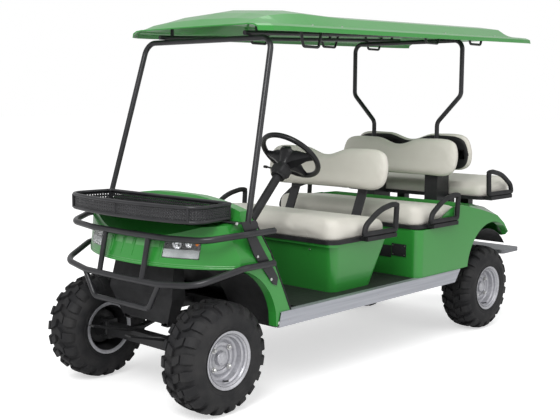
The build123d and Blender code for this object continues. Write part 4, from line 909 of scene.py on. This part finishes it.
def make_fascia():
    """Two grooves over the lip and recessed panels in a paler green that is a painted highlight, and upright
    ribs between the lamps.
    """
    grooves = Build()
    for z in (724, 733):
        for side in (1, -1):
            path = [nose_point(side * x, z, -0.6) for x in range(0, 585, 26)]
            grooves.pipe(path, 2 * MM, 8)
    grooves.piece("fascia_grooves", "cart", "body_green", PAINTED_HIGHLIGHT_GREEN)
    panels = Build()
    # middle and width of each panel
    for middle, width in ((0, 52), (84, 62), (-84, 62), (184, 50), (-184, 50)):
        nose_patch(panels, middle - width / 2, middle + width / 2, 806, 846, 0.8, -3)
    panels.piece("fascia_panels", "cart", "body_green", PAINTED_HIGHLIGHT_GREEN)
    ribs = Build()
    for x in (44, 132, 148, 222):
        for side in (1, -1):
            ribs.pipe([nose_point(side * x, z, 0) for z in range(752, 853, 20)], 2.6 * MM, 8)
    ribs.piece("fascia_ribs", "cart", "body_green", GREEN)


FROSTED = make_plastic("lamp_frosted", rgb(0.42, 0.44, 0.45), rgb(0.62, 0.64, 0.65), 0.3, 120.0)
LAMP_BLACK = make_plastic("lamp_housing_black", rgb(0.02, 0.02, 0.021), rgb(0.035, 0.035, 0.037), 0.35, 90.0)
make_lamps()
make_fascia()

# ---- basket

BASKET_HALF = 510
BASKET_REAR_HALF = 478
BASKET_FRONT_Y = -215
BASKET_CORNER_Y = -145
BASKET_REAR_Y = 112
BASKET_LOW_Z, BASKET_HIGH_Z = 954, 1024
BASKET_TUBE = 9
HOLE_PITCH = 16
HOLE_R = 3.4
HOLE_ROWS = 3


def basket_loop():
    """Plan of the basket: a bowed front, large front corners and straight sides."""
    (centre_x, centre_y), radius = circle_through((BASKET_HALF, BASKET_CORNER_Y), (0, BASKET_FRONT_Y),
                                                  (-BASKET_HALF, BASKET_CORNER_Y))
    corners = [(BASKET_REAR_HALF, BASKET_REAR_Y, 30), (BASKET_HALF, BASKET_CORNER_Y, 100)]
    for x in range(400, -401, -50):
        corners.append((x, centre_y - math.sqrt(radius ** 2 - (x - centre_x) ** 2), 0))
    corners += [(-BASKET_HALF, BASKET_CORNER_Y, 100), (-BASKET_REAR_HALF, BASKET_REAR_Y, 30)]
    return rounded_loop(corners)


def make_basket():
    """Tube rims, a perforated wall in three rows of holes, upright bars and a sheet floor."""
    loop = basket_loop()
    ring = even_steps(loop, HOLE_PITCH)
    tubes = Build()
    for z in (BASKET_LOW_Z, BASKET_HIGH_Z):
        tubes.pipe([at(x, y, z) for x, y in loop], BASKET_TUBE * MM, 12, True)
    # across and station of each upright
    for x, y in ((456, -158), (-456, -158), (-20, -214), (474, 100), (-474, 100)):
        tubes.pipe([at(x, y, BASKET_LOW_Z), at(x, y, BASKET_HIGH_Z)], 6.5 * MM, 10)
    floor = [at(x, y, BASKET_LOW_Z + 2) for x, y in loop]
    tubes.add(floor, [tuple(range(len(floor)))])
    tubes.piece("basket_tubes", "cart", "black_steel", STEEL, ("basket",))
    wall = Build()
    low = (BASKET_LOW_Z + BASKET_HIGH_Z - HOLE_ROWS * HOLE_PITCH) / 2
    for index, start in enumerate(ring):
        end = ring[(index + 1) % len(ring)]
        for z_low, z_high in ((BASKET_LOW_Z, low), (low + HOLE_ROWS * HOLE_PITCH, BASKET_HIGH_Z)):
            wall.add([at(start.x, start.y, z_low), at(end.x, end.y, z_low), at(end.x, end.y, z_high),
                      at(start.x, start.y, z_high)], [(0, 1, 2, 3)])
        middle = (start + end) / 2
        along = (end - start).normalized()
        for row in range(HOLE_ROWS):
            z = low + HOLE_PITCH * (row + 0.5)
            points = []
            for across, up in ((-1, -1), (0, -1), (1, -1), (1, 0), (1, 1), (0, 1), (-1, 1), (-1, 0)):
                half = (end - start).length / 2
                edge = middle + along * half * across
                points.append(at(edge.x, edge.y, z + up * HOLE_PITCH / 2))
            for across, up in ((-1, -1), (0, -1), (1, -1), (1, 0), (1, 1), (0, 1), (-1, 1), (-1, 0)):
                reach = HOLE_R / math.hypot(across, up)
                edge = middle + along * reach * across
                points.append(at(edge.x, edge.y, z + up * reach))
            wall.add(points, [(step, (step + 1) % 8, 8 + (step + 1) % 8, 8 + step) for step in range(8)])
    piece = wall.piece("basket_wall", "cart", "black_steel", STEEL)
    sheet = piece.modifiers.new("sheet", "SOLIDIFY")
    sheet.thickness = 2 * MM
    sheet.offset = 0


make_basket()

# ---- steering wheel

COLUMN_X = 270
WHEEL_Y = 770
WHEEL_Z = 1225
COLUMN_TILT = math.radians(47)
STEER_R = 170
STEER_RIM_R = 15
# section of the hub's bowl: along the axis, radius
HUB_ROWS = [(-82, 0.1), (-82, 32), (-60, 38), (-40, 48), (-20, 60), (-8, 66), (-2, 68), (3, 66), (5, 60),
            (5, 0.1)]


def column_frame():
    """Matrix from the steering wheel's frame (+z out of its hub, +y to the driver) to the row frame."""
    out = Vector((0, math.cos(COLUMN_TILT), math.sin(COLUMN_TILT)))
    across = Vector((1, 0, 0))
    turn = Matrix((across, out.cross(across), out)).transposed().to_4x4()
    return Matrix.Translation(at(COLUMN_X, WHEEL_Y, WHEEL_Z)) @ turn


def make_steering_wheel():
    """Thick rim, two wide arms, a bottom spoke, a deep bowl of a hub with a tab, and a switch housing."""
    frame = column_frame()

    def place(x, y, z):
        return frame @ (Vector((x, y, z)) * MM)

    build = Build()
    ring = [place(STEER_R * math.cos(turn), STEER_R * math.sin(turn), 0)
            for turn in (2 * math.pi * step / 72 for step in range(72))]
    build.pipe(ring, STEER_RIM_R * MM, 14, True)
    axis = place(0, 0, 1000) - place(0, 0, 0)
    build.lathe([(along * MM, radius * MM) for along, radius in HUB_ROWS], place(0, 0, 0), axis)
    # turn of each arm in degrees, half-width at the hub and at the rim
    for turn, inner, outer in ((0, 44, 27), (180, 44, 27), (90, 30, 20)):
        spin = Matrix.Rotation(math.radians(turn), 4, "Z")
        rows = []
        # reach, half-width, top and underside of each section along the arm
        sections = ((24, inner, 2, -78), (70, inner, 4, -52), (120, outer, 6, -26),
                    (164, outer * 1.15, 7, -12))
        for reach, half, top, low in sections:
            for y, z in ((-half, top - 9), (-half, top - 2), (-half * 0.8, top + 1), (half * 0.8, top + 1),
                         (half, top - 2), (half, top - 9), (half * 0.55, low), (-half * 0.55, low)):
                rows.append(frame @ spin @ (Vector((reach, y, z)) * MM))
        faces = []
        for row in range(3):
            for step in range(8):
                after = (step + 1) % 8
                faces.append((row * 8 + step, row * 8 + after, row * 8 + 8 + after, row * 8 + 8 + step))
        build.add(rows, faces)
    tab = []
    for z, half_x, half_y in ((-2, 33, 11), (15, 31, 9), (19, 27, 6)):
        tab.append([place(x, y - 52, z) for x, y in rounded_plan(half_x, half_y, 6, 3)])
    solid = layered_solid(tab)
    build.add(solid.points, solid.faces)
    build.piece("moulded_steering_wheel", "steering_wheel", "black_plastic", GLOSS_BLACK,
                ("steering_wheel",), 40)
    housing = Build()
    rings = []
    for z, half_x, half_y in ((-86, 40, 36), (-92, 47, 42), (-128, 47, 42), (-140, 40, 36), (-150, 32, 32)):
        rings.append([place(x, y, z) for x, y in rounded_plan(half_x, half_y, 18, 4)])
    solid = layered_solid(rings)
    housing.add(solid.points, solid.faces)
    housing.pipe([place(-44, 0, -108), place(-80, -4, -100), place(-118, -6, -96)], 5 * MM, 10)
    housing.pipe([place(-112, -6, -96.5), place(-134, -6, -95)], 8 * MM, 10)
    housing.piece("switch_housing", "cart", "black_plastic", PLASTIC, (), 40)


make_steering_wheel()

# ---- seat side rests

REST_TUBE = 16
REST_GAP = 0.3
REST_BASE_INSET = 30
# place along the depth from the front, and up the height, of a rest's loop, with the rounding of each corner
REST_CORNERS = ((0.0, 0.04, 16), (0.05, 0.36, 26), (0.46, 0.84, 60), (0.9, 1.0, 36), (1.0, 0.94, 16),
                (0.97, 0.04, 16))


def make_rests():
    """Thick moulded loops on both sides of every bench, each on a thin base plate."""
    for row in (1, 2, 3):
        name = f"hip_rests_{row}"
        low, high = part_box(name)
        tray_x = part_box(f"seat_base_{row}")[1].x + REST_GAP * MM
        backwards = row == 3
        build = Build()
        half_tube = REST_TUBE * MM
        for side in (1, -1):
            x = side * (high.x - half_tube)
            corners = []
            for along, up, cut in REST_CORNERS:
                share = 1 - along if backwards else along
                y = low.y + half_tube + share * (high.y - low.y - 2 * half_tube)
                z = low.z + 2 * half_tube + up * (high.z - low.z - 3 * half_tube)
                corners.append((y / MM, z / MM, cut))
            loop = rounded_loop(corners, 8)
            build.pipe([Vector((x, y * MM, z * MM)) for y, z in loop], half_tube, 14, True)
            near, far = sorted((side * tray_x, x + side * half_tube))
            build.box((near, low.y + REST_BASE_INSET * MM, low.z),
                      (far, high.y - REST_BASE_INSET * MM, low.z + 1.5 * half_tube))
        build.piece(f"moulded_rests_{row}", "cart", "black_plastic", PLASTIC, (name,), 50)


make_rests()

# ---- fixings and small fittings


def make_fixings():
    """Bolts, caps, screws, trims, blank plates and the knob."""
    bolts = Build()
    # across, station, height of each bolt on the outer faces of the guard's brackets
    for x, station, z in ((600, 24, 946), (600, 168, 770), (600, 265, 645)):
        for side in (1, -1):
            bolts.lathe([(-0.002, 0.0075), (0.004, 0.0075), (0.006, 0.005), (0.0065, 0.0001)],
                        at(side * x, station, z), Vector((side, 0, 0)), 12)
    for station, z in ((401, 418), (1158, 429), (1937, 439)):
        for side in (1, -1):
            bolts.lathe([(-0.002, 0.004), (0.001, 0.004), (0.002, 0.0001)],
                        at(side * 600, station, z), Vector((side, 0, 0)), 10)
    for station in (688, 935, 1958, 2560):
        z = 1869 + 61 / 2728 * (station - 283) + 40
        for side in (1, -1):
            bolts.lathe([(-0.003, 0.006), (0.002, 0.006), (0.003, 0.0001)],
                        at(side * 489, station, z), Vector((0, 0, 1)), 10)
    bolts.lathe([(-0.002, 0.006), (0.003, 0.005), (0.004, 0.0001)], at(382, 812, 709), Vector((0, -1, 0)), 10)
    bolts.piece("bolts", "cart", "black_steel", ZINC)
    trims = Build()
    edge = ((592, 421, 467), (590, 282, 760), (540, 234, 899.5), (500, 207, 985))
    for side in (1, -1):
        trims.pipe([at(side * x, station, z) for x, station, z in edge], 5 * MM, 8)
    trims.lathe([(-0.012, 0.015), (0.004, 0.014), (0.010, 0.009), (0.012, 0.0001)],
                at(62, 822, 657), Vector((0, -1, 0)), 16)
    trims.piece("edge_trims", "cart", "black_plastic", TRIM)
    plates = Build()
    for x_low, x_high, z_low, z_high in ((258, 390, 573, 646), (395, 501, 586, 661)):
        plates.box(at(x_low, 1571, z_low), at(x_high, 1566, z_high))
    plates.piece("blank_plates", "cart", "black_plastic", TRIM)
    screws = Build()
    for x in (405, 491):
        for z in (596, 651):
            screws.lathe([(-0.001, 0.005), (0.0015, 0.0045), (0.002, 0.0001)],
                         at(x, 1566, z), Vector((0, -1, 0)), 10)
    screws.piece("plate_screws", "cart", "black_steel", ZINC)


make_fixings()

# ---- studio


def make_world():
    """White backdrop to the camera; a dimmer sky lights the cart."""
    world = bpy.data.worlds.new("studio")
    bpy.context.scene.world = world
    world.use_nodes = True
    tree = world.node_tree
    sky = tree.nodes["Background"]
    sky.inputs["Color"].default_value = (1, 1, 1, 1)
    sky.inputs["Strength"].default_value = SKY
    backdrop = tree.nodes.new("ShaderNodeBackground")
    backdrop.inputs["Color"].default_value = (1, 1, 1, 1)
    backdrop.inputs["Strength"].default_value = 1.0
    ray = tree.nodes.new("ShaderNodeLightPath")
    blend = tree.nodes.new("ShaderNodeMixShader")
    tree.links.new(ray.outputs["Is Camera Ray"], blend.inputs["Fac"])
    tree.links.new(sky.outputs["Background"], blend.inputs[1])
    tree.links.new(backdrop.outputs["Background"], blend.inputs[2])
    tree.links.new(blend.outputs["Shader"], tree.nodes["World Output"].inputs["Surface"])


def make_floor():
    """Pale ground that reads white with a soft contact shadow."""
    ground = Build()
    ground.add([(-60, -60, 0), (60, -60, 0), (60, 60, 0), (-60, 60, 0)], [(0, 1, 2, 3)])
    mesh = mesh_of("floor", ground.points, ground.faces)
    plane = bpy.data.objects.new("floor", mesh)
    bpy.context.scene.collection.objects.link(plane)
    n = Nodes("floor_pale")
    ray = n.new("ShaderNodeLightPath").outputs["Is Camera Ray"]
    n.put(n.shader.inputs["Emission Color"], rgb(1, 1, 1))
    n.put(n.shader.inputs["Emission Strength"], n.span(ray, 0.0, FLOOR_GLOW))
    pale = n.mix(n.noise(1.0), rgb(0.80, 0.80, 0.80), rgb(0.84, 0.84, 0.84))
    mesh.materials.append(n.finish(Base_Color=pale, Roughness=0.9, Specular_IOR_Level=0.1))


SKY = 0.62
FLOOR_GLOW = 0.55
# name, place in metres, side of the square, energy
LAMPS = [("key", (3.0, -5.5, 5.5), 3.5, 330), ("side", (6.5, 1.0, 4.0), 4.0, 70),
         ("top", (0, 0.5, 6.5), 5.0, 110)]


def make_studio():
    bpy.context.scene.view_settings.view_transform = "Standard"
    make_world()
    make_floor()
    for name, place, size, energy in LAMPS:
        data = bpy.data.lights.new(name, "AREA")
        data.shape = "SQUARE"
        data.size = size
        data.energy = energy
        lamp = bpy.data.objects.new(name, data)
        bpy.context.scene.collection.objects.link(lamp)
        lamp.location = place
        lamp.rotation_euler = (Vector((0, 0, 0.8)) - Vector(place)).to_track_quat("-Z", "Y").to_euler()


make_studio()
